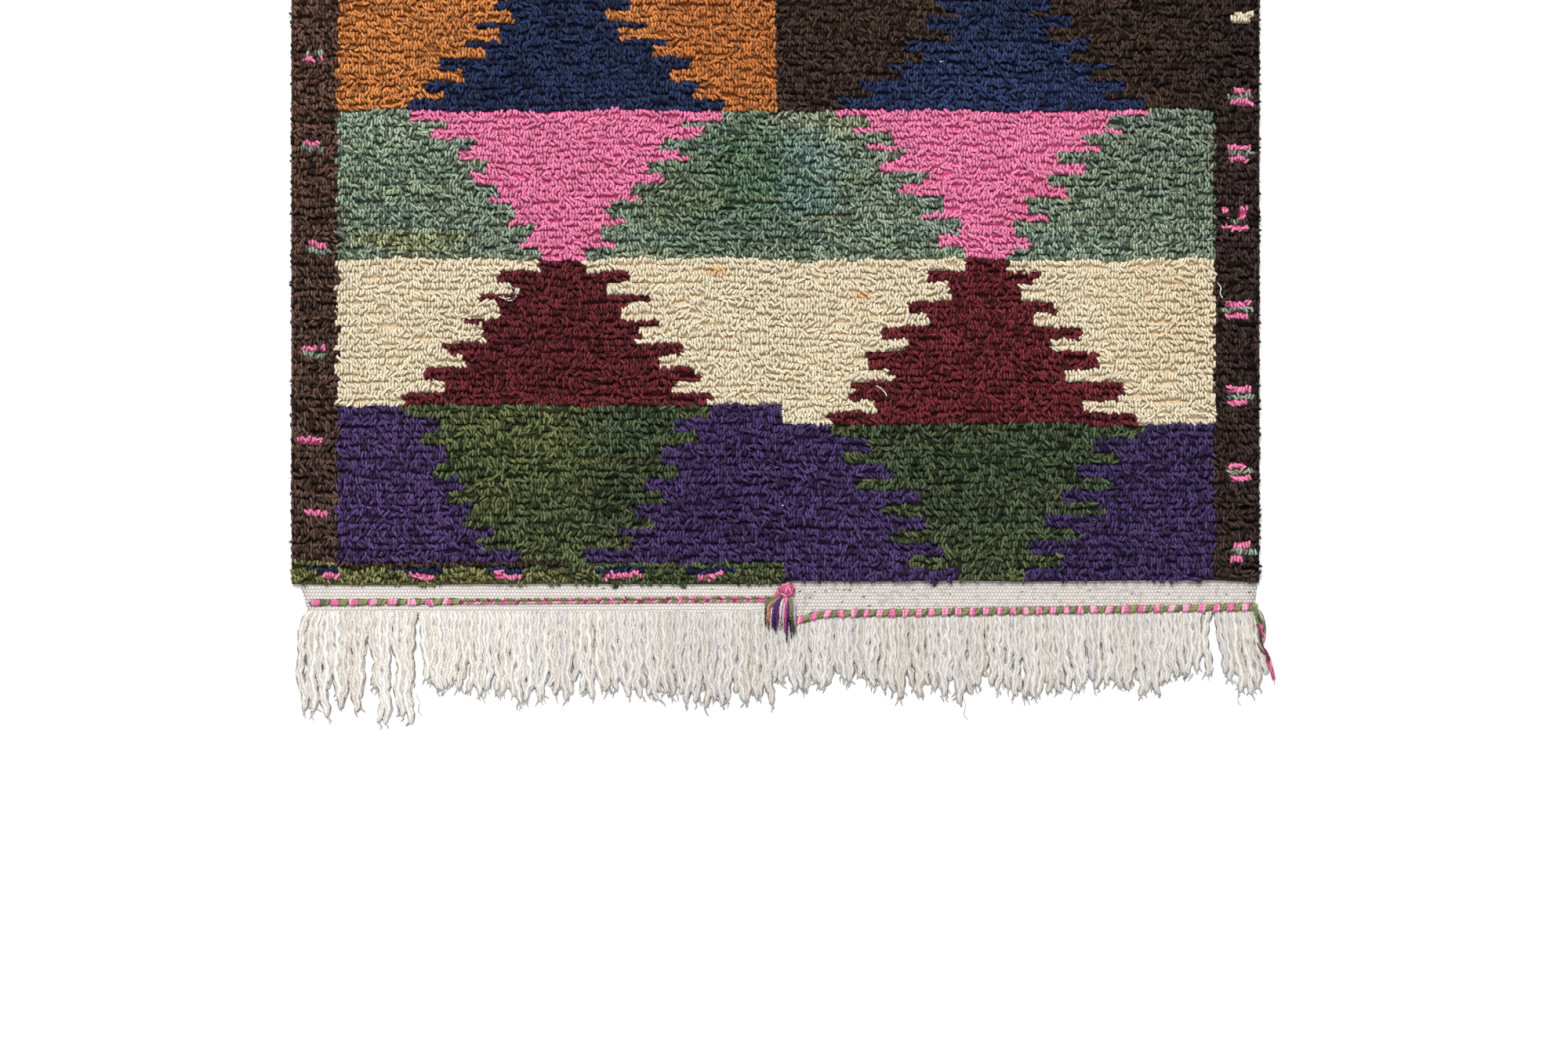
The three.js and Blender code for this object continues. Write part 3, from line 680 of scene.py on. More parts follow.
def pile_tree():
    """Geometry tree: a loop of one of the given shapes on each loose point, leaning as its point says, and
    the ridges"""
    tree, ends, out = new_group(
        "Looped Pile",
        "GeometryNodeTree",
        {
            "Geometry": ("NodeSocketGeometry", None),
            "Loop Shapes": ("NodeSocketCollection", None),
            "Last Shape": ("NodeSocketInt", 0),
            "Turn Scatter": ("NodeSocketFloat", 0.12),
            "Lean Scatter": ("NodeSocketFloat", 0.16),
            "Size Scatter": ("NodeSocketFloat", 0.15),
            "Seed": ("NodeSocketInt", 1),
            "Yarn": ("NodeSocketMaterial", None),
        },
        {"Geometry": "NodeSocketGeometry"},
    )

    def scattered(offset, size):
        seed = formula(tree, "ADD", ends.outputs["Seed"], offset)
        random = add_node(tree, "FunctionNodeRandomValue", {"Seed": seed}, data_type="FLOAT")
        random.inputs[2].default_value = -1
        random.inputs[3].default_value = 1
        return formula(tree, "MULTIPLY", random.outputs[1], size)

    parts = add_node(
        tree, "GeometryNodeSeparateGeometry",
        {"Geometry": ends.outputs["Geometry"], "Selection": named(tree, "knot", "BOOLEAN")}, domain="POINT"
    )
    turn = formula(tree, "ADD", named(tree, "turn"), scattered(1, ends.outputs["Turn Scatter"]))
    lean = scattered(2, ends.outputs["Lean Scatter"])
    roll = scattered(3, ends.outputs["Lean Scatter"])
    length = formula(tree, "ADD", named(tree, "length"), scattered(4, ends.outputs["Size Scatter"]))
    angles = add_node(tree, "ShaderNodeCombineXYZ", {"X": lean, "Y": roll, "Z": turn}).outputs[0]
    rotation = add_node(tree, "FunctionNodeEulerToRotation", {0: angles}).outputs[0]
    shapes = add_node(tree, "GeometryNodeCollectionInfo", {"Collection": ends.outputs["Loop Shapes"]})
    shapes.inputs["Separate Children"].default_value = True
    shapes.inputs["Reset Children"].default_value = True
    pick = add_node(
        tree, "FunctionNodeRandomValue", {"Seed": formula(tree, "ADD", ends.outputs["Seed"], 5)},
        data_type="INT"
    )
    pick.inputs[4].default_value = 0
    tree.links.new(ends.outputs["Last Shape"], pick.inputs[5])
    scale = add_node(
        tree, "ShaderNodeCombineXYZ", {"X": named(tree, "width"), "Y": length, "Z": 1.0}
    ).outputs[0]
    loops = add_node(tree, "GeometryNodeInstanceOnPoints", {
        "Points": parts.outputs["Selection"], "Instance": shapes.outputs[0], "Pick Instance": True,
        "Instance Index": pick.outputs[2], "Rotation": rotation, "Scale": scale})
    shade = add_node(
        tree, "FunctionNodeRandomValue", {"Seed": formula(tree, "ADD", ends.outputs["Seed"], 6)},
        data_type="FLOAT"
    )
    shaded = add_node(
        tree, "GeometryNodeStoreNamedAttribute",
        {"Geometry": loops.outputs[0], "Name": "shade", "Value": shade.outputs[1]}, data_type="FLOAT",
        domain="INSTANCE"
    )
    real = add_node(tree, "GeometryNodeRealizeInstances", {"Geometry": shaded.outputs[0]})
    joined = tree.nodes.new("GeometryNodeJoinGeometry")
    tree.links.new(real.outputs[0], joined.inputs[0])
    tree.links.new(parts.outputs["Inverted"], joined.inputs[0])
    dyed = add_node(
        tree, "GeometryNodeSetMaterial", {"Geometry": joined.outputs[0], "Material": ends.outputs["Yarn"]}
    )
    tree.links.new(dyed.outputs[0], out.inputs[0])
    return tree


def grown(name, guide, tree, values):
    """Runs a geometry tree on a guide mesh with the named values, and gives the result as a plain mesh"""
    holder = bpy.data.objects.new(name, guide)
    bpy.context.scene.collection.objects.link(holder)
    modifier = holder.modifiers.new("made", "NODES")
    modifier.node_group = tree
    sockets = {item.name: item.identifier for item in tree.interface.items_tree if item.in_out == "INPUT"}
    for label, value in values.items():
        modifier[sockets[label]] = value
    evaluated = holder.evaluated_get(bpy.context.evaluated_depsgraph_get())
    mesh = bpy.data.meshes.new_from_object(evaluated)
    holder.modifiers.remove(modifier)
    bpy.data.objects.remove(holder)
    bpy.data.meshes.remove(guide)
    mesh.name = name
    return mesh


def bake_cells(mesh, cell_of_face):
    """Spreads the piece's own map out so that each loop, and each stretch of a ridge, has a square cell of
    it"""
    across = math.ceil(math.sqrt(cell_of_face.max() + 1))
    layer = mesh.uv_layers["OFBake"].uv
    uv = np.zeros(len(mesh.loops) * 2, np.float32)
    layer.foreach_get("vector", uv)
    starts = np.zeros(len(mesh.polygons), np.int32)
    totals = np.zeros(len(mesh.polygons), np.int32)
    mesh.polygons.foreach_get("loop_start", starts)
    mesh.polygons.foreach_get("loop_total", totals)
    cell = np.repeat(cell_of_face, totals)
    uv = uv.reshape(-1, 2) * 0.9 + 0.05
    uv[:, 0] += cell % across
    uv[:, 1] += cell // across
    layer.foreach_set("vector", (uv / across).ravel())


def pile_mesh(number, tree, material):
    """All of one yarn's pile"""
    ridge = ridges[number]
    loose = np.concatenate(knots[number])
    name = f"pile_{YARNS[number]}"
    guide = bpy.data.meshes.new(name)
    guide.from_pydata(ridge["points"] + loose[:, :3].tolist(), [], ridge["faces"])
    for layer, key_name in (("strand", "strand"), ("OFBake", "local")):
        guide.uv_layers.new(name=layer).uv.foreach_set(
            "vector", np.array(ridge[key_name], np.float32).ravel()
        )
    ridge_points = len(ridge["points"])
    blank = np.zeros(ridge_points)
    point_attribute(guide, "knot", "BOOLEAN", np.concatenate([blank, np.ones(len(loose))]).astype(bool))
    point_attribute(guide, "turn", "FLOAT", np.concatenate([blank, loose[:, 3]]))
    point_attribute(guide, "width", "FLOAT", np.concatenate([blank, loose[:, 4]]))
    point_attribute(guide, "length", "FLOAT", np.concatenate([blank, loose[:, 5]]))
    point_attribute(guide, "shade", "FLOAT", np.concatenate([ridge["shade"], np.zeros(len(loose))]))
    point_attribute(guide, "depth", "FLOAT", np.concatenate([ridge["depth"], np.zeros(len(loose))]))
    guide.shade_smooth()
    mesh = grown(
        name, guide, tree,
        {
            "Loop Shapes": loop_shapes, "Last Shape": len(LOOP_SHAPES) - 1, "Seed": 10 * number + 3,
            "Yarn": material
        }
    )
    ridge_cells = np.array(ridge["cell"])
    loop_cells = np.arange(len(mesh.polygons) - len(ridge_cells)) // LOOP_FACES + ridge_cells.max() + 1
    ridges_first = mesh.polygons[0].loop_total != 3
    bake_cells(mesh, np.concatenate([ridge_cells, loop_cells] if ridges_first else [loop_cells, ridge_cells]))
    return mesh


def dye_group():
    """Group: a hand-dyed yarn's colour, which changes in long low streaks along the rows, as each hank was
    used up"""
    group, ends, out = new_group(
        "Uneven Dye",
        "ShaderNodeTree",
        {
            "Tone": ("NodeSocketColor", (0.5, 0.5, 0.5, 1)),
            "Second Tone": ("NodeSocketColor", (0.5, 0.5, 0.5, 1)),
            "Third Tone": ("NodeSocketColor", (0.5, 0.5, 0.5, 1)),
            "Streak Length": ("NodeSocketFloat", 0.12),
            "Streak Height": ("NodeSocketFloat", 0.02),
            "Shift": ("NodeSocketFloat", 0.0),
        },
        {"Colour": "NodeSocketColor"},
    )
    place = add_node(group, "ShaderNodeTexCoord").outputs["Object"]
    axes = add_node(group, "ShaderNodeSeparateXYZ", {0: place}).outputs
    along = formula(group, "DIVIDE", axes["X"], ends.outputs["Streak Length"])
    up = formula(group, "DIVIDE", axes["Y"], ends.outputs["Streak Height"])
    streaks = []
    for layer in (0, 1):
        depth = formula(group, "ADD", ends.outputs["Shift"], 7.3 * layer)
        spot = add_node(group, "ShaderNodeCombineXYZ", {"X": along, "Y": up, "Z": depth}).outputs[0]
        streak = add_node(
            group, "ShaderNodeTexNoise", {"Vector": spot, "Scale": 1.0, "Detail": 3, "Roughness": 0.55}
        )
        streaks.append(remap(group, streak.outputs["Fac"], 0.38, 0.62))
    colour = blend_tones(group, streaks[0], ends.outputs["Tone"], ends.outputs["Second Tone"])
    colour = blend_tones(
        group, formula(group, "MULTIPLY", streaks[1], 0.7), colour, ends.outputs["Third Tone"]
    )
    group.links.new(colour, out.inputs["Colour"])
    return group


def stored(tree, name, output="Fac"):
    """A value or a colour that is stored on the piece's own points"""
    node = add_node(tree, "ShaderNodeAttribute", attribute_name=name, attribute_type="GEOMETRY")
    return node.outputs[output]


def painted_light_group():
    """Group: a pile colour with painted shade towards the roots of the loops, in the ridges' valleys and down
    the loops' sides, a painted highlight along their tops, and some loops lighter than others"""
    group, ends, out = new_group(
        "Pile Depth",
        "ShaderNodeTree",
        {
            "Colour": ("NodeSocketColor", (0.5, 0.5, 0.5, 1)),
            "Root Tone": ("NodeSocketColor", (0.2, 0.2, 0.2, 1)),
            "Crown Tone": ("NodeSocketColor", (0.8, 0.8, 0.8, 1)),
            "Crown Share": ("NodeSocketFloat", 0.5),
            "Unevenness": ("NodeSocketFloat", 0.3),
        },
        {"Colour": "NodeSocketColor"},
    )
    depth = stored(group, "depth")
    shade = stored(group, "shade")
    strand = add_node(group, "ShaderNodeUVMap", uv_map="strand").outputs[0]
    around = add_node(group, "ShaderNodeSeparateXYZ", {0: strand}).outputs["X"]
    angle = formula(group, "MULTIPLY_ADD", around, 2 * math.pi, math.pi / 3)
    up = formula(group, "MULTIPLY_ADD", formula(group, "COSINE", angle), 0.5, 0.5)
    # Painted shade on the loops' lower sides
    side = remap(group, up, 0.25, 0.7)
    # Painted highlight along the loops' tops
    crown = formula(group, "MULTIPLY", remap(group, up, 0.5, 1.0), ends.outputs["Crown Share"])
    wave = formula(group, "SUBTRACT", shade, 0.5)
    brightness = formula(group, "MULTIPLY_ADD", wave, ends.outputs["Unevenness"], 1.0)
    lit = blend_tones(group, crown, ends.outputs["Colour"], ends.outputs["Crown Tone"])
    lit = scaled(group, lit, brightness)
    place = add_node(group, "ShaderNodeTexCoord").outputs["Object"]
    # Random flecks where the painted shade gives way to the lit colour
    unshaded_flecks = remap(group, noise(group, place, 420, 1), 0.45, 0.70, 0, 0.45)
    # Painted shade: the root tone towards the loops' ends and roots, in the ridges' valleys and on the loops'
    # lower sides
    bare = formula(group, "MULTIPLY", formula(group, "POWER", depth, 0.6), side)
    bare = formula(group, "MAXIMUM", bare, unshaded_flecks)
    colour = blend_tones(group, bare, ends.outputs["Root Tone"], lit)
    group.links.new(colour, out.inputs["Colour"])
    return group


def patch_group():
    """Group: shifts a colour in one patch, ragged along the rows, where a hank from another dye bath was
    used"""
    group, ends, out = new_group(
        "Dye Patch",
        "ShaderNodeTree",
        {
            "Colour": ("NodeSocketColor", (0.5, 0.5, 0.5, 1)),
            "Tint": ("NodeSocketVector", (1, 1, 1)),
            "Middle": ("NodeSocketVector", (0, 0, 0)),
            "Half Size": ("NodeSocketVector", (1, 1, 1)),
        },
        {"Colour": "NodeSocketColor"},
    )
    place = add_node(group, "ShaderNodeTexCoord").outputs["Object"]
    away = vector(group, "SUBTRACT", place, ends.outputs["Middle"])
    away = vector(group, "DIVIDE", away, ends.outputs["Half Size"])
    distance = add_node(group, "ShaderNodeVectorMath", {0: away}, operation="LENGTH").outputs["Value"]
    wisps = noise(group, vector(group, "MULTIPLY", place, (14, 90, 0)), 1.0, 2)
    ragged = formula(group, "MULTIPLY_ADD", wisps, 1.6, formula(group, "SUBTRACT", distance, 0.8))
    shifted = vector(group, "MULTIPLY", ends.outputs["Colour"], ends.outputs["Tint"])
    colour = blend_tones(group, remap(group, ragged, 1.15, 0.55), ends.outputs["Colour"], shifted)
    group.links.new(colour, out.inputs["Colour"])
    return group


def twist_group():
    """Group: height of the plies that wind round a yarn, each beaded by its own twist, with the yarn's
    fibres, from the yarn's own map"""
    group, ends, out = new_group(
        "Yarn Twist",
        "ShaderNodeTree",
        {
            "Turns Along": ("NodeSocketFloat", 3.0),
            "Plies": ("NodeSocketFloat", 2.0),
            "Fibre Scale": ("NodeSocketFloat", 1400.0),
            "Beads Along": ("NodeSocketFloat", 300.0),
            "Bead Share": ("NodeSocketFloat", 0.0),
        },
        {"Height": "NodeSocketFloat"},
    )
    strand = add_node(group, "ShaderNodeUVMap", uv_map="strand").outputs[0]
    axes = add_node(group, "ShaderNodeSeparateXYZ", {0: strand}).outputs
    place = add_node(group, "ShaderNodeTexCoord").outputs["Object"]
    drift = formula(group, "MULTIPLY", noise(group, place, 110, 1), ends.outputs["Bead Share"])
    around = formula(group, "MULTIPLY", axes["X"], ends.outputs["Plies"])
    around = formula(group, "MULTIPLY_ADD", drift, 2.4, around)
    wound = formula(group, "MULTIPLY_ADD", axes["Y"], ends.outputs["Turns Along"], around)
    ply = formula(group, "ABSOLUTE", formula(group, "SINE", formula(group, "MULTIPLY", wound, math.pi)))
    bead = formula(
        group, "SUBTRACT", formula(group, "MULTIPLY", axes["Y"], ends.outputs["Beads Along"]), wound
    )
    bead = formula(group, "ABSOLUTE", formula(group, "SINE", formula(group, "MULTIPLY", bead, math.pi)))
    bead = formula(group, "MULTIPLY", formula(group, "SUBTRACT", 1.0, bead), ends.outputs["Bead Share"])
    ply = formula(group, "MULTIPLY", ply, formula(group, "SUBTRACT", 1.0, bead))
    fibre = noise(group, place, ends.outputs["Fibre Scale"], 2)
    height = formula(group, "MULTIPLY_ADD", fibre, 0.5, ply)
    group.links.new(height, out.inputs["Height"])
    return group


uneven_dye = dye_group()
dye_patch = patch_group()
pile_painted_light = painted_light_group()
yarn_twist = twist_group()


def pile_wool(name, tones, root, crown, streak, unevenness, shift, ply_painted_light, painted_highlight_share=0.5, patches=()):
    """Wool yarn of the pile: matte and slightly fuzzy, in three tones of one dye, with painted shade at the
    roots and between the plies, and a painted highlight along the loops' tops. A patch of another bath's
    colour is (middle, half size, tint)"""
    material, tree, shader = new_material(name, 0.8, 0.05)
    shader.inputs["Sheen Weight"].default_value = 0.02
    shader.inputs["Sheen Roughness"].default_value = 0.5
    first, second, third = [(*tone, 1) for tone in tones]
    dye = {"Tone": first, "Second Tone": second, "Third Tone": third, "Shift": shift}
    dye |= {"Streak Length": streak[0], "Streak Height": streak[1]}
    colour = add_node(tree, "ShaderNodeGroup", dye, node_tree=uneven_dye).outputs["Colour"]
    depth = {"Colour": colour, "Root Tone": (*root, 1), "Crown Tone": (*crown, 1)}
    depth |= {"Crown Share": painted_highlight_share, "Unevenness": unevenness}
    colour = add_node(tree, "ShaderNodeGroup", depth, node_tree=pile_painted_light).outputs["Colour"]
    for middle, half_size, tint in patches:
        patch = {"Colour": colour, "Tint": tint, "Middle": (*middle, 0), "Half Size": (*half_size, 1)}
        colour = add_node(tree, "ShaderNodeGroup", patch, node_tree=dye_patch).outputs["Colour"]
    winding = {"Turns Along": LOOP_TURNS, "Plies": LOOP_PLIES}
    height = add_node(tree, "ShaderNodeGroup", winding, node_tree=yarn_twist).outputs["Height"]
    # Painted shade between the plies and painted light on them
    light = remap(tree, height, 0.35, 1.1, 1 - 1.5 * ply_painted_light, 1 + 0.4 * ply_painted_light)
    tree.links.new(scaled(tree, colour, light), shader.inputs["Base Color"])
    emboss(tree, shader, height, 0.0006, 0.7)
    return material


# Each wool's "root" colour is the painted shade at the loops' roots and in the ridges' valleys, and the
# colour after it is the painted highlight along the loops' tops
WOOLS = {
    "orange": {
        "tones": [(0.579, 0.174, 0.0307), (0.670, 0.233, 0.0526), (0.472, 0.127, 0.0204)],
        "root": (0.214, 0.0506, 0.0071), "crown": (0.793, 0.342, 0.124), "streak": (0.20, 0.011),
        "unevenness": 0.88, "ply_painted_light": 0.35,
        "patches": [((-0.06, -0.05), (0.14, 0.14), (0.88, 0.80, 0.78))]
    },
    "navy": {
        "tones": [(0.0097, 0.0166, 0.0608), (0.0121, 0.0218, 0.0708), (0.0061, 0.0096, 0.0388)],
        "root": (0.0028, 0.0042, 0.0149), "crown": (0.0374, 0.0535, 0.129), "streak": (0.25, 0.012),
        "unevenness": 1.22, "ply_painted_light": 0.5, "painted_highlight_share": 0.6,
        "patches": [((0.265, -0.135), (0.16, 0.07), (1.32, 1.36, 1.36))]
    },
    "dark_brown": {
        "tones": [(0.0313, 0.0163, 0.0106), (0.0451, 0.0228, 0.0126), (0.0197, 0.0115, 0.0095)],
        "root": (0.0064, 0.0041, 0.0032), "crown": (0.0822, 0.0502, 0.0376), "streak": (0.16, 0.010),
        "unevenness": 1.59, "ply_painted_light": 0.5, "painted_highlight_share": 0.6,
        "patches": [
            ((-0.7, 0.0), (0.3, 4.0), (1.56, 1.50, 1.61)), ((-0.7, 0.42), (0.3, 0.95), (1.45, 1.30, 1.18)),
            ((0.72, 0.0), (0.20, 4.0), (0.77, 0.79, 0.96)), ((0.55, -0.06), (0.14, 0.12), (0.84, 0.86, 0.86))
        ]
    },
    "pink": {
        "tones": [(0.940, 0.170, 0.379), (0.911, 0.206, 0.402), (0.884, 0.127, 0.317)],
        "root": (0.609, 0.0535, 0.193), "crown": (0.949, 0.355, 0.549), "streak": (0.25, 0.011),
        "unevenness": 0.49, "ply_painted_light": 0.16, "patches": [((0.33, -0.28), (0.05, 0.03), (0.97, 0.86, 0.90))]
    },
    "teal": {
        "tones": [(0.129, 0.204, 0.131), (0.190, 0.226, 0.0951), (0.105, 0.187, 0.165)],
        "root": (0.0171, 0.0326, 0.0242), "crown": (0.405, 0.467, 0.358), "streak": (0.14, 0.012),
        "unevenness": 1.31, "ply_painted_light": 0.4,
        "patches": [
            ((-0.52, -0.20), (0.16, 0.09), (1.21, 1.20, 1.25)),
            ((0.47, -0.20), (0.16, 0.12), (0.87, 0.85, 0.85)),
            ((-0.06, -0.26), (0.14, 0.10), (0.68, 0.76, 0.76)),
            ((-0.47, -0.325), (0.08, 0.015), (1.35, 1.15, 0.80)),
            ((0.06, -0.165), (0.08, 0.028), (1.28, 1.10, 1.0)),
            ((-0.125, -0.27), (0.06, 0.05), (1.08, 1.0, 0.84)),
            ((-0.045, -0.235), (0.05, 0.07), (0.80, 0.92, 0.76)),
            ((0.03, -0.235), (0.05, 0.07), (0.90, 1.04, 1.22)),
            ((-0.52, -0.235), (0.14, 0.04), (0.86, 0.89, 0.82))
        ]
    },
    "cream": {
        "tones": [(0.901, 0.758, 0.513), (0.892, 0.750, 0.499), (0.845, 0.698, 0.446)],
        "root": (0.792, 0.606, 0.363), "crown": (0.879, 0.803, 0.654), "streak": (0.22, 0.012),
        "unevenness": 0.25, "ply_painted_light": 0.07,
        "patches": [
            ((-0.087, -0.364), (0.018, 0.006), (0.97, 0.72, 0.50)),
            ((0.099, -0.396), (0.013, 0.006), (0.97, 0.70, 0.48)),
            ((0.50, -0.42), (0.10, 0.10), (0.97, 0.94, 0.90))
        ]
    },
    "burgundy": {
        "tones": [(0.120, 0.0103, 0.0157), (0.145, 0.0130, 0.0193), (0.0839, 0.0072, 0.0124)],
        "root": (0.0207, 0.0019, 0.0031), "crown": (0.200, 0.0367, 0.0429), "streak": (0.20, 0.011),
        "unevenness": 1.22, "ply_painted_light": 0.5, "painted_highlight_share": 0.6,
        "patches": [((-0.30, -0.42), (0.22, 0.14), (0.86, 0.95, 0.97))]
    },
    "purple": {
        "tones": [(0.0439, 0.0204, 0.1000), (0.0520, 0.0251, 0.112), (0.0319, 0.0146, 0.0696)],
        "root": (0.0090, 0.0047, 0.0203), "crown": (0.0989, 0.0610, 0.173), "streak": (0.25, 0.011),
        "unevenness": 1.31, "ply_painted_light": 0.5, "painted_highlight_share": 0.6,
        "patches": [
            ((-0.53, -0.66), (0.13, 0.14), (1.18, 1.15, 1.10)),
            ((-0.08, -0.65), (0.11, 0.14), (0.93, 0.90, 0.92)),
            ((0.45, -0.65), (0.16, 0.14), (0.85, 0.90, 0.88))
        ]
    },
    "olive": {
        "tones": [(0.0505, 0.0709, 0.0184), (0.0347, 0.0662, 0.0317), (0.103, 0.0977, 0.0216)],
        "root": (0.0071, 0.0111, 0.0047), "crown": (0.120, 0.150, 0.0745), "streak": (0.16, 0.012),
        "unevenness": 1.59, "ply_painted_light": 0.5, "painted_highlight_share": 0.6,
        "patches": [
            ((0.26, -0.61), (0.24, 0.12), (0.72, 0.81, 0.92)),
            ((-0.33, -0.572), (0.12, 0.055), (1.42, 1.32, 1.15)),
            ((-0.19, -0.65), (0.07, 0.06), (0.74, 0.74, 0.80)),
            ((-0.19, -0.56), (0.08, 0.05), (0.74, 0.84, 0.98)),
            ((-0.38, -0.655), (0.05, 0.03), (1.25, 1.12, 1.0)),
            ((-0.50, -0.752), (0.24, 0.03), (2.26, 1.78, 1.59))
        ]
    },
}

looped_pile = pile_tree()
pile_pieces = []
for number, yarn_name in enumerate(YARNS):
    wool = pile_wool(f"{yarn_name} wool", shift=1.7 * number, **WOOLS[yarn_name])
    nodes = ["panel_left"] if yarn_name == "orange" else ["panel_left", "panel_right"]
    pile_pieces.append(place_piece(pile_mesh(number, looped_pile, wool), f"wool_{yarn_name}", *nodes))

# Cords of the whole trim: fringe, tassel, tail, seam thread and loose ends are all yarns laid along a line.
# A guide mesh holds the lines, and one geometry tree turns each into a twisted oval cord, or a thin
# three-sided hair.
RUN_STEP = 0.0017


def cord_tree():
    """Geometry tree: an oval that turns with the twist, swept along each line of the guide"""
    tree, ends, out = new_group(
        "Twisted Cords",
        "GeometryNodeTree",
        {
            "Geometry": ("NodeSocketGeometry", None),
            "Sides": ("NodeSocketInt", 6),
            "Flatness": ("NodeSocketFloat", 0.6),
            "Yarn": ("NodeSocketMaterial", None),
        },
        {"Geometry": "NodeSocketGeometry"},
    )

    def profile(sides, flatness):
        circle = add_node(tree, "GeometryNodeCurvePrimitiveCircle", {"Resolution": sides, "Radius": 1.0})
        size = add_node(tree, "ShaderNodeCombineXYZ", {"X": 1.0, "Y": flatness, "Z": 1.0}).outputs[0]
        oval = add_node(tree, "GeometryNodeTransform", {"Geometry": circle.outputs[0], "Scale": size})
        factor = add_node(tree, "GeometryNodeSplineParameter").outputs["Factor"]
        marked = add_node(
            tree, "GeometryNodeStoreNamedAttribute",
            {"Geometry": oval.outputs[0], "Name": "around", "Value": factor}, data_type="FLOAT",
            domain="POINT"
        )
        return marked.outputs[0]

    curves = add_node(tree, "GeometryNodeMeshToCurve", {"Mesh": ends.outputs["Geometry"]}).outputs[0]
    upright = add_node(tree, "GeometryNodeSetCurveNormal", {"Curve": curves}, mode="Z_UP").outputs[0]
    sized = add_node(
        tree, "GeometryNodeSetCurveRadius", {"Curve": upright, "Radius": named(tree, "thickness")}
    ).outputs[0]
    turned = add_node(
        tree, "GeometryNodeSetCurveTilt", {"Curve": sized, "Tilt": named(tree, "twist")}
    ).outputs[0]
    parts = add_node(tree, "GeometryNodeSeparateGeometry",
                     {"Geometry": turned, "Selection": named(tree, "hair", "BOOLEAN")}, domain="CURVE")
    joined = tree.nodes.new("GeometryNodeJoinGeometry")
    oval = profile(ends.outputs["Sides"], ends.outputs["Flatness"])
    for part, section in (("Selection", profile(3, 1.0)), ("Inverted", oval)):
        swept = add_node(
            tree, "GeometryNodeCurveToMesh",
            {
                "Curve": parts.outputs[part], "Profile Curve": section, "Scale": named(tree, "thickness"),
                "Fill Caps": True
            }
        )
        tree.links.new(swept.outputs[0], joined.inputs[0])
    dyed = add_node(
        tree, "GeometryNodeSetMaterial", {"Geometry": joined.outputs[0], "Material": ends.outputs["Yarn"]}
    )
    tree.links.new(dyed.outputs[0], out.inputs[0])
    return tree


def cord(points, thickness, tint, twist_pitch=0.018, hair=False):
    """One cord's line: its points, half its width at each, its colour and how far a turn of its twist goes"""
    points = np.array(points, float)
    steps = np.linalg.norm(np.diff(points, axis=0), axis=1)
    run = np.concatenate([[0], np.cumsum(steps)])
    thickness = np.broadcast_to(np.asarray(thickness, float), len(points))
    twist = 2 * np.pi * run / twist_pitch
    return {"points": points, "thickness": thickness, "run": run, "tint": tint, "twist": twist, "hair": hair}


def smooth_line(stops, count):
    """A line of this many points through a few stops, rounded at them"""
    stops = np.array(stops, float)
    before = np.concatenate([stops[:1], stops[:-1]])
    after = np.concatenate([stops[1:], stops[-1:]])
    slopes = (after - before) / 2
    place = np.linspace(0, len(stops) - 1, count)
    left = np.minimum(place.astype(int), len(stops) - 2)
    t = (place - left)[:, None]
    a, b = stops[left], stops[left + 1]
    return (a * (1 + 2 * t) * (1 - t) ** 2 + b * t * t * (3 - 2 * t)
            + slopes[left] * t * (1 - t) ** 2 - slopes[left + 1] * t * t * (1 - t))


def cords_mesh(name, cords, material, sides=6, flatness=0.6, squash=1.0):
    """All of a piece's cords as one plain mesh with its two maps, none of it below the floor"""
    guide = bpy.data.meshes.new(name)
    points, edges, start = [], [], 0
    for line in cords:
        points += line["points"].tolist()
        edges += [(start + step, start + step + 1) for step in range(len(line["points"]) - 1)]
        start += len(line["points"])
    guide.from_pydata(points, edges, [])
    sizes = [len(line["points"]) for line in cords]
    for key_name in ("thickness", "twist"):
        point_attribute(guide, key_name, "FLOAT", np.concatenate([line[key_name] for line in cords]))
    runs = [line["run"] + RUN_STEP * number for number, line in enumerate(cords)]
    point_attribute(guide, "run", "FLOAT", np.concatenate(runs))
    along = [line["run"] / line["run"][-1] for line in cords]
    point_attribute(guide, "along", "FLOAT", np.concatenate(along))
    point_attribute(guide, "cord", "FLOAT", np.repeat(np.arange(len(cords)), sizes))
    point_attribute(guide, "hair", "BOOLEAN", np.repeat([line["hair"] for line in cords], sizes))
    tints = np.repeat([(*line["tint"], 1) for line in cords], sizes, axis=0)
    guide.attributes.new("tint", "FLOAT_COLOR", "POINT").data.foreach_set("color", tints.ravel())
    mesh = grown(name, guide, twisted_cords, {"Sides": sides, "Flatness": flatness, "Yarn": material})
    lay_on_floor(mesh, squash)
    thick = [number for number, line in enumerate(cords) if not line["hair"]]
    thin = [number for number, line in enumerate(cords) if line["hair"]]
    boxes = np.zeros((len(cords), 4))
    floor_share = 0.15 if thin else 0.0
    for place, number in enumerate(thick):
        boxes[number] = (place / len(thick), floor_share, 1 / len(thick), 1 - floor_share)
    rows = max(1, math.ceil(math.sqrt(len(thin) / 8)))
    columns = max(1, math.ceil(len(thin) / rows))
    height = (floor_share if thick else 1.0) / rows
    for place, number in enumerate(thin):
        boxes[number] = (place % columns / columns, place // columns * height, 1 / columns, height)
    map_cords(mesh, boxes)
    mesh.shade_smooth()
    return mesh


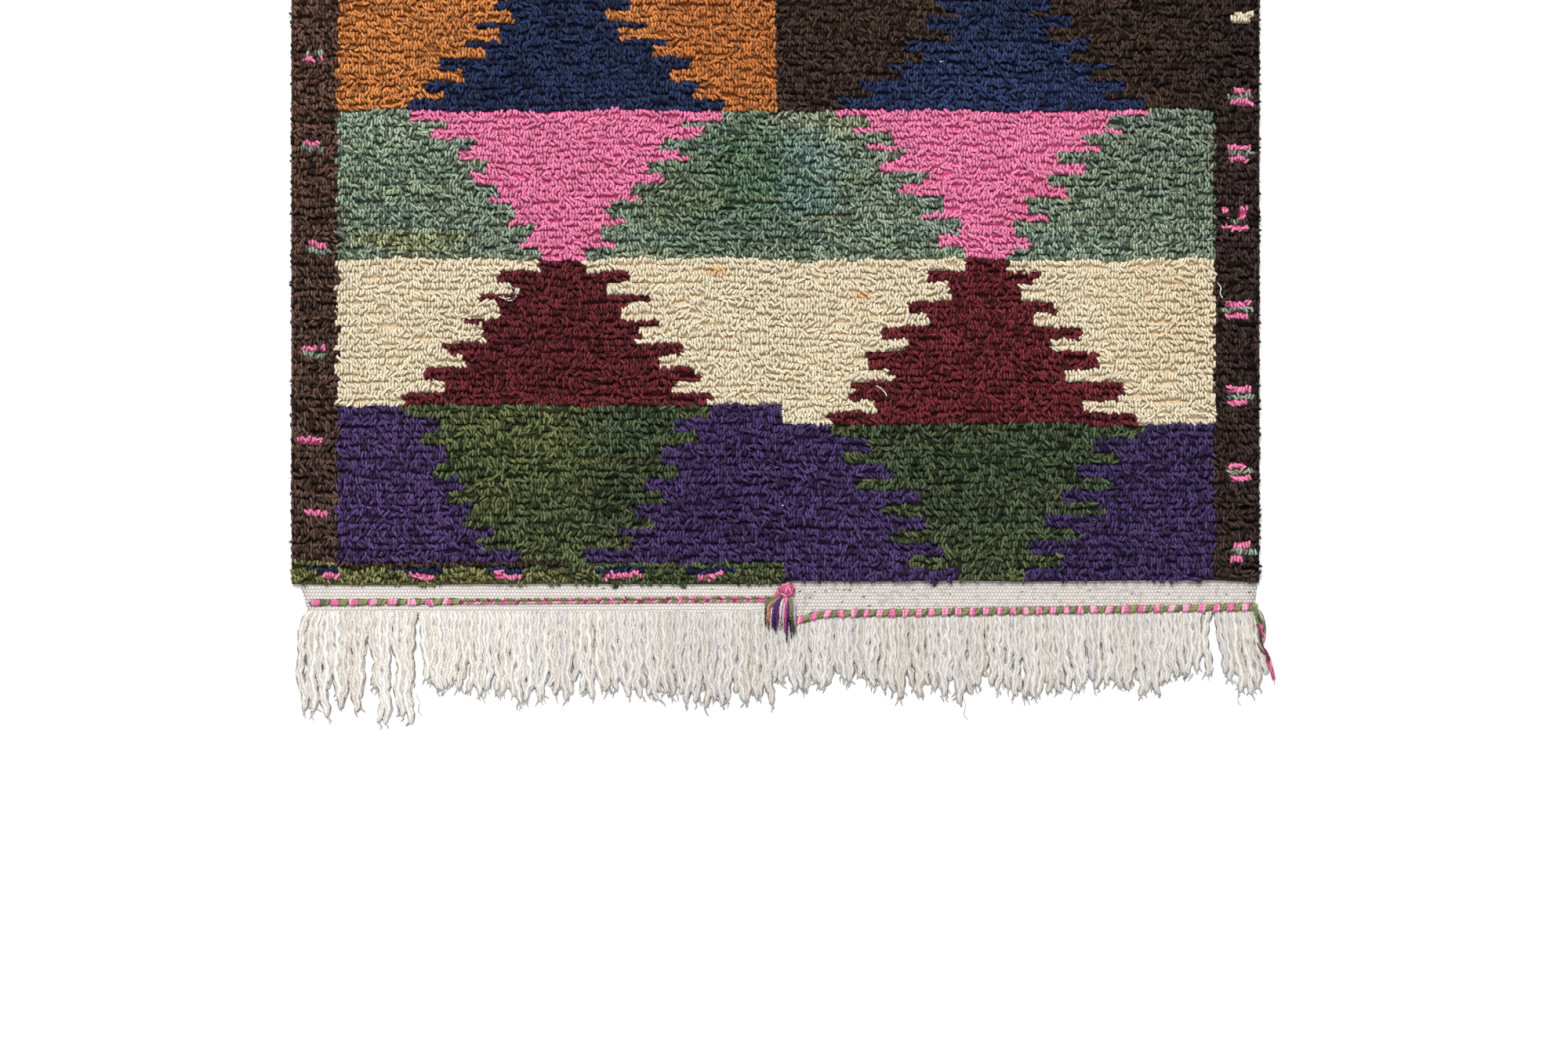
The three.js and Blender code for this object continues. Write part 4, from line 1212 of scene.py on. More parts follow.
def lay_on_floor(mesh, squash):
    """Presses the cords down by this share, flattens what would lie below the floor, and stores how far each
    point faces up, for the painted shade on the cords' sides"""
    spots = np.zeros(len(mesh.vertices) * 3, np.float32)
    mesh.vertices.foreach_get("co", spots)
    spots = spots.reshape(-1, 3)
    spots[:, 2] *= squash
    spots[:, 2] = np.maximum(spots[:, 2], 0.00005 + 0.05 * np.clip(spots[:, 2] + 0.003, 0, 0.003))
    mesh.vertices.foreach_set("co", spots.ravel())
    mesh.update()
    normals = np.zeros(len(mesh.vertices) * 3, np.float32)
    mesh.vertex_normals.foreach_get("vector", normals)
    # How far each point faces up, for painted shade on the sides
    point_attribute(mesh, "crown", "FLOAT", np.clip(normals[2::3], 0, 1))


def map_cords(mesh, boxes):
    """Makes the yarn's own map, round and along each cord in metres, and the flat one with a box for each
    cord"""
    def read(name):
        values = np.zeros(len(mesh.vertices), np.float32)
        mesh.attributes[name].data.foreach_get("value", values)
        return values
    corner = np.zeros(len(mesh.loops), np.int32)
    mesh.loops.foreach_get("vertex_index", corner)
    totals = np.zeros(len(mesh.polygons), np.int32)
    mesh.polygons.foreach_get("loop_total", totals)
    starts = np.concatenate([[0], np.cumsum(totals)[:-1]])
    around, along, run = read("around")[corner], read("along")[corner], read("run")[corner]
    number = np.rint(read("cord")[corner]).astype(int)
    high = np.repeat(np.maximum.reduceat(around, starts), totals)
    flat = np.repeat(np.maximum.reduceat(along, starts) - np.minimum.reduceat(along, starts) < 1e-6, totals)
    around = np.where((high > 0.7) & (around < 0.3) & ~flat, around + 1, around)
    strand = np.stack([around, run], 1).astype(np.float32)
    mesh.uv_layers.new(name="strand").uv.foreach_set("vector", strand.ravel())
    at_tip = along > 0.5
    side_v = 0.06 + 0.88 * along
    cap_v = np.where(at_tip, 0.975, 0.025) + 0.018 * np.sin(2 * np.pi * around)
    u = np.where(flat, 0.5 + 0.4 * np.cos(2 * np.pi * around), around)
    v = np.where(flat, cap_v, side_v)
    box = boxes[number]
    u = box[:, 0] + box[:, 2] * (0.04 + 0.92 * u)
    v = box[:, 1] + box[:, 3] * (0.02 + 0.96 * v)
    mesh.uv_layers.new(name="OFBake").uv.foreach_set("vector", np.stack([u, v], 1).astype(np.float32).ravel())


def yarn_material(
    name, turn_length, painted_ply_shade, bump_strength=0.7, plies=2.0, fibre_scale=1400.0, bead_share=0.0,
    side_share=0.0
):
    """A plied yarn in the colour of its own "tint", with painted shade between its plies and on the sides
    that face away from up, and with fine fibres
    """
    material, tree, shader = new_material(name, 0.9, 0.12)
    winding = {
        "Turns Along": 1 / turn_length, "Plies": plies, "Fibre Scale": fibre_scale, "Bead Share": bead_share
    }
    height = add_node(tree, "ShaderNodeGroup", winding, node_tree=yarn_twist).outputs["Height"]
    place = add_node(tree, "ShaderNodeTexCoord").outputs["Object"]
    grey = formula(tree, "MULTIPLY_ADD", noise(tree, place, 120, 2), 0.3, 0.85)
    # Painted shade between the plies
    gap = remap(tree, height, 0.2, 0.9, painted_ply_shade, 0)
    light = formula(tree, "MULTIPLY", grey, formula(tree, "SUBTRACT", 1.0, gap))
    # Painted shade on the cord's sides, where it faces away from up
    light = formula(
        tree, "MULTIPLY", light, remap(tree, stored(tree, "crown"), 0.55, 0.97, 1 - side_share, 1)
    )
    tree.links.new(scaled(tree, stored(tree, "tint", "Color"), light), shader.inputs["Base Color"])
    emboss(tree, shader, height, 0.0007, bump_strength)
    return material


twisted_cords = cord_tree()

# Fringes: each half of an end, its warps twisted together into crinkled cords, whose tips have frayed. At
# the lower end shorter ones lie under them, the outermost fan out, they part at four places, and some locks
# hang past the rest.
STRAND_PITCH = 0.0106
STRAND_LENGTH = 0.092
STRAND_UNEVEN = 0.0066
STRAND_HALF_WIDTH = 0.0052
STRAND_RINGS = 24
STRAND_SHARES = [0, 0.1, 0.5, 0.85, 0.95, 1]
STRAND_WIDTHS = [1.0, 1.0, 1, 1.05, 0.9, 0.45]
STRAND_CENTRE = 0.0046
STRAND_SQUASH = 0.37
ROOT_INSET = 0.0078
SHORT_SWAY = (0.0009, 0.016)
LONG_SWAY = (0.0034, 0.055)
TIP_LEAN = 0.0022
CORNER_BULGE = (0.020, 0.014)
STRAND_HUMPS = (0.0007, 0.021)
STRAND_SWELLS = (0.04, 0.0095)
UNDER_DROP = 0.0013
ROOT_DROP = 0.0020
UNDER_LENGTHS = (0.84, 0.94)
# Painted shade on the strands that lie underneath
UNDER_PAINTED_SHADE = 0.92
STRIP_OFFSET = 0.0033
TIP_SCATTER = 0.0005
TIP_CURVE = 1.5
TIP_DRIFT = [(0.0022, 0.289, 1e9), (0.0012, 0.132, 1e9)]
LOWER_FAN = [(-0.607, -0.015, 0.026), (0.601, 0.013, 0.070)]
UPPER_FAN = [(-0.609, -0.005, 0.030), (0.600, 0.005, 0.030)]
LOWER_PARTINGS = [(-0.471, 0.007, 0.022), (0.544, 0.005, 0.020)]
FRINGE_GAPS = [
    (-0.5275, 0.0085, 0.45), (-0.4985, 0.0085, 0.28), (-0.4705, 0.0075, 0.05), (0.544, 0.0080, 0.02)
]
GAP_SPREAD = 0.013
RIGHT_DULLING = 0.86
TIP_PLACES = [
    -0.600, -0.575, -0.540, -0.460, -0.410, -0.360, -0.335, -0.290, -0.240, -0.190, -0.140, -0.085, -0.050,
    -0.020, 0.040, 0.090, 0.115, 0.140, 0.190, 0.260, 0.300, 0.340, 0.390, 0.470, 0.500, 0.530, 0.560, 0.587,
    0.612
]
TIP_EXTRAS = [
    0, 0.010, 0, -0.006, -0.005, 0.009, 0.016, 0.012, 0.003, 0.008, 0.010, 0.019, 0.018, 0, -0.010, -0.018,
    -0.010, 0.005, 0, -0.008, 0.010, 0, -0.006, 0.005, -0.010, -0.018, -0.012, 0.010, -0.014
]
LONG_LOCKS = [(-0.591, 0.015, 0.025), (-0.549, 0.016, 0.021), (-0.513, 0.010, 0.042),
              (-0.486, 0.010, 0.044), (-0.018, 0.005, 0.018), (0.233, 0.005, 0.020)]
STRAND_TINTS = [
    (0.87, 0.82, 0.77), (0.89, 0.84, 0.77), (0.83, 0.76, 0.69), (0.84, 0.80, 0.77), (0.88, 0.83, 0.79)
]
FRAYS = 4


def scatter(number, salt):
    """The fixed scatter between -1 and 1 of the strand of this number, as in the part's solids"""
    wave = 1e4 * math.sin(number * 12.99 + salt * 78.23)
    return 2 * (wave - math.floor(wave)) - 1


def tip_swing(x, fans, partings):
    """Sideways swing of a strand's tip"""
    fan = sum(swing * math.exp(-abs(x - place) / spread) for place, swing, spread in fans)
    part = 0.0
    for place, width, spread in partings:
        part += math.copysign(width / 2, x - place) * math.exp(-abs(x - place) / spread)
    return fan + part + float(ripple(TIP_DRIFT, x, 0.0))


def fringe_cords(web, side, outward, fans, partings, locks, layers, salt, rng):
    """The cords of one half of an end: its strands, and at the lower end shorter ones that lie between and
    under them"""
    seam_side = -1 if side == "left" else 1
    outer = np.array([web["outer"][0], web["outer"][1] + outward * STRIP_OFFSET])
    inner = np.array(
        [seam_x(web["seam_y"]) + seam_side * SEAM_HALF_GAP, web["seam_y"] + outward * STRIP_OFFSET]
    )
    start, end = (outer, inner) if outer[0] < inner[0] else (inner, outer)
    count = round((end[0] - start[0]) / STRAND_PITCH)
    cords = []
    for number, layer in [(number, layer) for layer in layers for number in range(count)]:
        under = layer == "under"
        root = start + (end - start) * (number + (1.0 if under else 0.5)) / count
        swing = tip_swing(root[0], fans, partings) + TIP_SCATTER * scatter(number, salt)
        extra = next((more for place, half, more in locks if abs(root[0] - place) <= half), 0)
        length = STRAND_LENGTH + STRAND_UNEVEN * scatter(number, salt + 1) + extra
        length += float(np.interp(root[0], TIP_PLACES, TIP_EXTRAS)) if outward < 0 else 0
        opens = [begins for place, _, begins in FRINGE_GAPS if outward < 0 and abs(root[0] - place) < 0.008]
        if under:
            length *= opens[0] + 0.12 if opens else rng.uniform(*UNDER_LENGTHS)
        along = np.linspace(0, 1, STRAND_RINGS)
        phase = rng.uniform(0, 2 * np.pi, 3)
        way = 2 * np.pi * along * length
        sway = SHORT_SWAY[0] * np.sin(way / SHORT_SWAY[1] + phase[0])
        sway += LONG_SWAY[0] * along * np.sin(way / LONG_SWAY[1] + phase[1])
        sway += rng.normal(0, TIP_LEAN) * along
        gaps = [gap for gap in FRINGE_GAPS if outward < 0 and abs(root[0] - gap[0]) < 3 * GAP_SPREAD]
        if under and any(abs(root[0] - place) < 0.008 and begins < 0.2 for place, _, begins in gaps):
            continue
        for place, width, begins in gaps:
            opened = np.clip((along - begins) / 0.25, 0, 1)
            push = width / 2 * math.exp(-(abs(root[0] - place) - 0.004) / GAP_SPREAD)
            sway += math.copysign(push, root[0] - place) * opened * opened * (3 - 2 * opened)
        if outward < 0 and side == "left":
            bulge = CORNER_BULGE[0] * math.exp(-(root[0] - start[0]) / CORNER_BULGE[1])
            sway -= bulge * np.sin(np.pi * along ** 0.6)
        x = root[0] + swing * along ** TIP_CURVE + sway
        y = root[1] + outward * ((length + ROOT_INSET) * along - ROOT_INSET)
        z = STRAND_CENTRE + STRAND_HUMPS[0] * np.sin(way / STRAND_HUMPS[1] + phase[2])
        z = z - UNDER_DROP if under else z - ROOT_DROP * np.exp(-along / 0.06)
        width = STRAND_HALF_WIDTH * np.interp(along, STRAND_SHARES, STRAND_WIDTHS) * rng.uniform(0.9, 1.08)
        width = width * (1 + STRAND_SWELLS[0] * np.sin(way / STRAND_SWELLS[1] + phase[2]))
        width = width * np.interp(root[0], [-0.60, -0.35], [1.14, 1])
        tint = np.array(STRAND_TINTS[rng.integers(len(STRAND_TINTS))]) * rng.uniform(0.93, 1.04)
        # Strands that lie underneath are darker: painted shade
        tint = tint * (UNDER_PAINTED_SHADE if under else 1)
        tint = tint * np.interp(root[0], [-0.35, -0.10], [1, RIGHT_DULLING])
        cords.append(cord(np.stack([x, y, z], 1), width, tint, rng.uniform(0.08, 0.14)))
        for _ in range(0 if under else FRAYS):
            ring = int(rng.integers(STRAND_RINGS - 3, STRAND_RINGS))
            lean = rng.normal(0, 0.4)
            reach = rng.uniform(0.006, 0.013) * np.array([0, 0.5, 1])
            bend = rng.normal(0, 0.0015) * np.array([0, 1, 0])
            hair_x = x[ring] + rng.normal(0, 0.0020) + reach * math.sin(lean) + bend
            hair_y = y[ring] + outward * reach * math.cos(lean)
            hair_z = np.array([0.0045, 0.0035, 0.0020]) + rng.uniform(0, 0.0015)
            fray = np.stack([hair_x, hair_y, hair_z], 1)
            cords.append(cord(fray, [0.0014, 0.0011, 0.0003], tint * 1.02, hair=True))
    return cords


fringe_cotton = yarn_material(
    "fringe cotton", 0.020, 0.46, bump_strength=0.8, plies=5.0, fibre_scale=300.0, bead_share=0.5,
    side_share=0.12
)
lower = {
    "outward": -1, "fans": LOWER_FAN, "partings": LOWER_PARTINGS, "locks": LONG_LOCKS,
    "layers": ["under", "upper"]
}
upper = {"outward": 1, "fans": UPPER_FAN, "partings": [], "locks": [], "layers": ["upper"]}
FRINGES = [("lower_left", "left", 1, lower), ("lower_right", "right", 3, lower),
           ("upper_left", "left", 5, upper), ("upper_right", "right", 7, upper)]
fringe_pieces = {"left": [], "right": []}
for place, side, salt, end in FRINGES:
    cords = fringe_cords(WEBS[place], side, salt=salt, rng=np.random.default_rng(salt), **end)
    mesh = cords_mesh(
        f"fringe_cords_{place}", cords, fringe_cotton, sides=5, flatness=1.0, squash=STRAND_SQUASH
    )
    fringe_pieces[side].append(place_piece(mesh, "fringe_cotton", f"fringe_{place}"))

# Braids: pink and green wool worked over the web in turn, in puffy bundles of slanted wraps. The left one
# crosses the middle of its web, and from its first third on is finer. The right one closes the end of its
# web.
BRAID_TOP = 0.0064
BRAIDS = {"left": ((-0.605, -0.7872), (-0.017, -0.7822)), "right": ((0.0155, -0.8022), (0.599, -0.7927))}
BRAID_PINK = (0.74, 0.19, 0.36)
BRAID_PALE_PINK = (0.82, 0.42, 0.54)
BRAID_RED = (0.30, 0.06, 0.09)
BRAID_GREEN = (0.26, 0.29, 0.12)
BRAID_DARK_GREEN = (0.13, 0.16, 0.08)
BRAID_DIP = 0.009
WRAP_SIDES = 5


def wrap_shape():
    """One wrap of yarn, lying along Y with its top at Z = 0: a five-sided spindle"""
    stops = [(-0.0044, 0.65), (0, 1.0), (0.0044, 0.65)]
    points = [(0, -0.0060, -0.0024)]
    for y, size in stops:
        for angle in (np.arange(WRAP_SIDES) + 0.25) * 2 * math.pi / WRAP_SIDES:
            rise = -0.0016 - 0.0006 * (1 - size) + 0.0016 * size * math.sin(angle)
            points.append((0.0018 * size * math.cos(angle), y, rise))
    points.append((0, 0.0060, -0.0024))
    end = len(points) - 1
    faces, uv = [], []
    for side in range(WRAP_SIDES):
        here, there = 1 + side, 1 + (side + 1) % WRAP_SIDES
        left, right = side / WRAP_SIDES, (side + 1) / WRAP_SIDES
        faces.append((0, there, here))
        uv += [((left + right) / 2, 0), (right, 0.12), (left, 0.12)]
        for ring in range(2):
            a, b = here + WRAP_SIDES * ring, there + WRAP_SIDES * ring
            near, far = 0.12 + 0.38 * ring, 0.12 + 0.38 * (ring + 1)
            faces.append((a, b, b + WRAP_SIDES, a + WRAP_SIDES))
            uv += [(left, near), (right, near), (right, far), (left, far)]
        faces.append((here + 2 * WRAP_SIDES, there + 2 * WRAP_SIDES, end))
        uv += [(left, 0.88), (right, 0.88), ((left + right) / 2, 1)]
    mesh = bpy.data.meshes.new("wrap")
    mesh.from_pydata(points, [], faces)
    layer = np.array(uv, np.float32)
    mesh.uv_layers.new(name="OFBake").uv.foreach_set("vector", layer.ravel())
    mesh.uv_layers.new(name="strand").uv.foreach_set(
        "vector", (layer * (1, 0.012)).astype(np.float32).ravel()
    )
    mesh.shade_smooth()
    return bpy.data.objects.new("wrap", mesh)


wrap_shapes = bpy.data.collections.new("wrap shapes")
wrap_shapes.objects.link(wrap_shape())
WRAP_FACES = 4 * WRAP_SIDES


def wraps_mesh(name, wraps, material, seed):
    """A row of wraps, each (x, y, top, turn, width, length, colour)"""
    places = np.array([wrap[:6] for wrap in wraps])
    guide = bpy.data.meshes.new(name)
    guide.from_pydata(places[:, :3].tolist(), [], [])
    point_attribute(guide, "knot", "BOOLEAN", np.ones(len(wraps), bool))
    for column, key_name in ((3, "turn"), (4, "width"), (5, "length")):
        point_attribute(guide, key_name, "FLOAT", places[:, column])
    tints = np.array([(*wrap[6], 1) for wrap in wraps])
    guide.attributes.new("tint", "FLOAT_COLOR", "POINT").data.foreach_set("color", tints.ravel())
    values = {"Loop Shapes": wrap_shapes, "Last Shape": 0, "Turn Scatter": 0.1, "Lean Scatter": 0.06}
    values |= {"Seed": seed, "Yarn": material}
    mesh = grown(name, guide, looped_pile, values)
    bake_cells(mesh, np.arange(len(mesh.polygons)) // WRAP_FACES)
    return mesh


def braid_wraps(side, rng):
    """The wraps of one braid: puffy bundles of pink ones, then slanted green ones, with dark red between
    them that partly paints the shade round the bundles, on a wide dark green wrap laid low as painted shade.
    The right braid starts lower, beside the tassel"""
    (start_x, start_y), (end_x, end_y) = BRAIDS[side]
    wraps = []

    def lay(x, y_shift, sink, turn, wide, long, tint):
        level = start_y + (end_y - start_y) * (x - start_x) / (end_x - start_x)
        if side == "right":
            level -= BRAID_DIP * max(0.0, 1 - (x - start_x) / 0.038) ** 1.6
        shade = rng.uniform(0.85, 1.15)
        wraps.append((x, level + y_shift, BRAID_TOP - sink, turn, wide, long, np.array(tint) * shade))

    x = start_x
    while x < end_x - 0.004:
        fine = side == "left" and x > -0.42
        period = (0.0166 if x < 0.38 else 0.0193) if side == "right" else 0.0176 if fine else 0.0242
        period *= rng.uniform(0.92, 1.08)
        size = period / 0.0200
        tall = 1.0 if side == "right" else 0.76
        # A wide dark green wrap laid low under each stretch: painted shade beneath the bundles
        lay(x + period / 2, 0, 0.0016, math.pi / 2, 2.2 if fine else 3.0, period / 0.0100, BRAID_DARK_GREEN)
        if fine:
            for number in range(8):
                place = x + period * (number + 0.5) / 8
                row = 1 if number % 2 else -1
                tint = BRAID_GREEN if number in (
                    3, 4, 5
                ) else BRAID_RED if rng.uniform() < 0.15 else BRAID_PINK
                tint = BRAID_PALE_PINK if tint == BRAID_PINK and rng.uniform() < 0.45 else tint
                lay(
                    place, 0.0022 * row, 0.0003, (math.pi / 2 - 0.45) * row + rng.normal(0, 0.15), 0.85,
                    0.60, tint
                )
        else:
            for number in range(3):
                place = x + period * (0.60 + 0.13 * number)
                tint = BRAID_GREEN if rng.uniform() < 0.75 else BRAID_DARK_GREEN
                lay(place, 0, 0.0003, -0.62 + rng.normal(0, 0.12), 1.35 * size, 1.12 * tall, tint)
            # Narrow dark red wraps at both ends of the pink bundle: dark red yarn that also paints the shade
            # round it
            for place in (x + 0.02 * period, x + 0.50 * period):
                lay(place, rng.normal(0, 0.0006), 0.0003, rng.normal(0, 0.2), 0.55, 0.98 * tall, BRAID_RED)
            for number in range(4):
                place = x + period * (0.10 + 0.105 * number)
                tint = BRAID_PINK if rng.uniform() < 0.5 else BRAID_PALE_PINK
                turn = rng.normal(-0.15, 0.18)
                lay(place, rng.normal(0, 0.0004), -0.0002 * (number in (1, 2)), turn, 1.4 * size, tall, tint)
        x += period
    return wraps


braid_wool = yarn_material("braid wool", 0.0045, 0.35)
braid_pieces = {}
for seed, side in enumerate(BRAIDS):
    wraps = braid_wraps(side, np.random.default_rng(40 + seed))
    mesh = wraps_mesh(f"braid_wraps_{side}", wraps, braid_wool, 60 + seed)
    braid_pieces[side] = place_piece(mesh, "braid_wool", f"braid_{side}")

# Tail: the right braid's yarns run on past the corner, hang over the web's edge and end in a pink lock.
PINK_YARN = (0.66, 0.14, 0.28)
PALE_PINK_YARN = (0.78, 0.33, 0.44)
GREEN_YARN = (0.18, 0.22, 0.10)
DARK_YARN = (0.05, 0.035, 0.045)
CREAM_YARN = (0.78, 0.70, 0.58)
RED_YARN = (0.26, 0.05, 0.08)
TAIL_YARNS = [
    (
        [(0.597, -0.791, 0.0048), (0.602, -0.797, 0.0050), (0.605, -0.808, 0.0040), (0.608, -0.818, 0.0028)],
        0.0030, GREEN_YARN
    ),
    (
        [
            (0.599, -0.792, 0.0056), (0.605, -0.799, 0.0050), (0.6085, -0.809, 0.0044),
            (0.610, -0.818, 0.0030)
        ], 0.0024, GREEN_YARN
    ),
    (
        [
            (0.601, -0.797, 0.0050), (0.6055, -0.804, 0.0060), (0.6080, -0.812, 0.0060),
            (0.6100, -0.818, 0.0040)
        ], 0.0016, DARK_YARN
    ),
    (
        [
            (0.606, -0.812, 0.0044), (0.6095, -0.818, 0.0058), (0.6115, -0.825, 0.0046),
            (0.6105, -0.831, 0.0016)
        ], 0.0024, PINK_YARN
    ),
    (
        [
            (0.604, -0.814, 0.0046), (0.6070, -0.820, 0.0056), (0.6085, -0.826, 0.0050),
            (0.6080, -0.833, 0.0020)
        ], 0.0018, RED_YARN
    ),
    (
        [
            (0.6085, -0.818, 0.0050), (0.6120, -0.822, 0.0066), (0.6130, -0.827, 0.0056),
            (0.6115, -0.831, 0.0030)
        ], 0.0013, DARK_YARN
    ),
    (
        [
            (0.609, -0.806, 0.0036), (0.6125, -0.812, 0.0050), (0.6135, -0.818, 0.0040),
            (0.6120, -0.824, 0.0020)
        ], 0.0016, GREEN_YARN
    ),
    (
        [
            (0.6105, -0.823, 0.0050), (0.6135, -0.828, 0.0056), (0.6135, -0.833, 0.0030),
            (0.6110, -0.837, 0.0014)
        ], 0.0015, PALE_PINK_YARN
    ),
    (
        [
            (0.599, -0.792, 0.0056), (0.6085, -0.798, 0.0048), (0.6135, -0.808, 0.0030),
            (0.6155, -0.820, 0.0018), (0.6150, -0.832, 0.0018), (0.6120, -0.841, 0.0020)
        ], 0.0009, RED_YARN
    ),
    (
        [
            (0.603, -0.802, 0.0044), (0.6065, -0.822, 0.0050), (0.6080, -0.836, 0.0026),
            (0.6150, -0.850, 0.0024)
        ], 0.0010, GREEN_YARN
    ),
    (
        [
            (0.609, -0.826, 0.0026), (0.6110, -0.838, 0.0024), (0.6135, -0.846, 0.0026),
            (0.6180, -0.857, 0.0030)
        ], 0.0012, DARK_YARN
    ),
    (
        [
            (0.6045, -0.838, 0.0040), (0.6080, -0.845, 0.0044), (0.6110, -0.850, 0.0036),
            (0.6160, -0.853, 0.0020)
        ], 0.0011, RED_YARN
    ),
    (
        [
            (0.6140, -0.846, 0.0020), (0.6175, -0.853, 0.0044), (0.6200, -0.860, 0.0046),
            (0.6225, -0.866, 0.0030)
        ], 0.0024, (0.20, 0.03, 0.07)
    ),
    (
        [
            (0.6170, -0.858, 0.0024), (0.6200, -0.866, 0.0048), (0.6235, -0.875, 0.0044),
            (0.6262, -0.884, 0.0018)
        ], 0.0026, PINK_YARN
    ),
    (
        [
            (0.6195, -0.854, 0.0022), (0.6220, -0.863, 0.0050), (0.6250, -0.874, 0.0036),
            (0.6282, -0.885, 0.0016)
        ], 0.0016, PALE_PINK_YARN
    ),
    (
        [
            (0.6160, -0.851, 0.0030), (0.6178, -0.860, 0.0054), (0.6215, -0.872, 0.0050),
            (0.6250, -0.886, 0.0016)
        ], 0.0013, (0.16, 0.05, 0.12)
    ),
    (
        [
            (0.6210, -0.866, 0.0044), (0.6238, -0.872, 0.0060), (0.6258, -0.879, 0.0034),
            (0.6265, -0.888, 0.0014)
        ], 0.0011, RED_YARN
    ), ([(0.6255, -0.879, 0.0016), (0.6265, -0.886, 0.0012), (0.6272, -0.892, 0.0008)], 0.0006, PINK_YARN),
]
YARN_SHARES = [0, 0.12, 0.5, 0.85, 1]
YARN_WIDTHS = [0.6, 0.9, 1, 0.8, 0.3]


def loose_yarn(stops, half_width, tint, rings=14):
    """A yarn through these stops, thinner at both ends"""
    width = half_width * np.interp(np.linspace(0, 1, rings), YARN_SHARES, YARN_WIDTHS)
    return cord(smooth_line(stops, rings), width, tint, 0.012)


trim_wool = yarn_material("trim wool", 0.0045, 0.35)
tail_cords = [loose_yarn(*row) for row in TAIL_YARNS]
tail_mesh = cords_mesh("tail_yarns", tail_cords, trim_wool, flatness=0.7)
braid_pieces["tail"] = place_piece(tail_mesh, "braid_wool", "braid_tail")

# Tassel: a bunch of wool at the seam's end, tied round with pink yarn that is wound into a flat knob. Its
# skirt is of olive, purple, cream, green and pink yarns of uneven length.
KNOB_MIDDLE = (0.0035, -0.7705)
PURPLE_YARN = (0.085, 0.035, 0.16)
OLIVE_YARN = (0.15, 0.19, 0.06)
MAGENTA_YARN = (0.52, 0.06, 0.20)
ORANGE_PINK_YARN = (0.72, 0.22, 0.20)
LILAC_YARN = (0.60, 0.42, 0.58)
KNOB_YARNS = [
    (0.2, 0.0072, 0.0070, PALE_PINK_YARN), (0.5, -0.0072, 0.0072, PINK_YARN),
    (1.3, 0.0072, 0.0066, PINK_YARN), (1.6, -0.0074, 0.0070, PINK_YARN),
    (2.7, 0.0072, 0.0070, PALE_PINK_YARN), (2.3, -0.0072, 0.0070, PINK_YARN),
    (0.9, 0.0040, 0.0098, PINK_YARN), (1.9, -0.0038, 0.0100, PALE_PINK_YARN),
    (-0.3, 0.0036, 0.0098, PINK_YARN), (-0.5, -0.0038, 0.0100, MAGENTA_YARN),
    (1.2, 0.0006, 0.0108, PALE_PINK_YARN), (2.1, 0.0010, 0.0108, PINK_YARN), (0.1, 0.0, 0.0108, PINK_YARN),
]
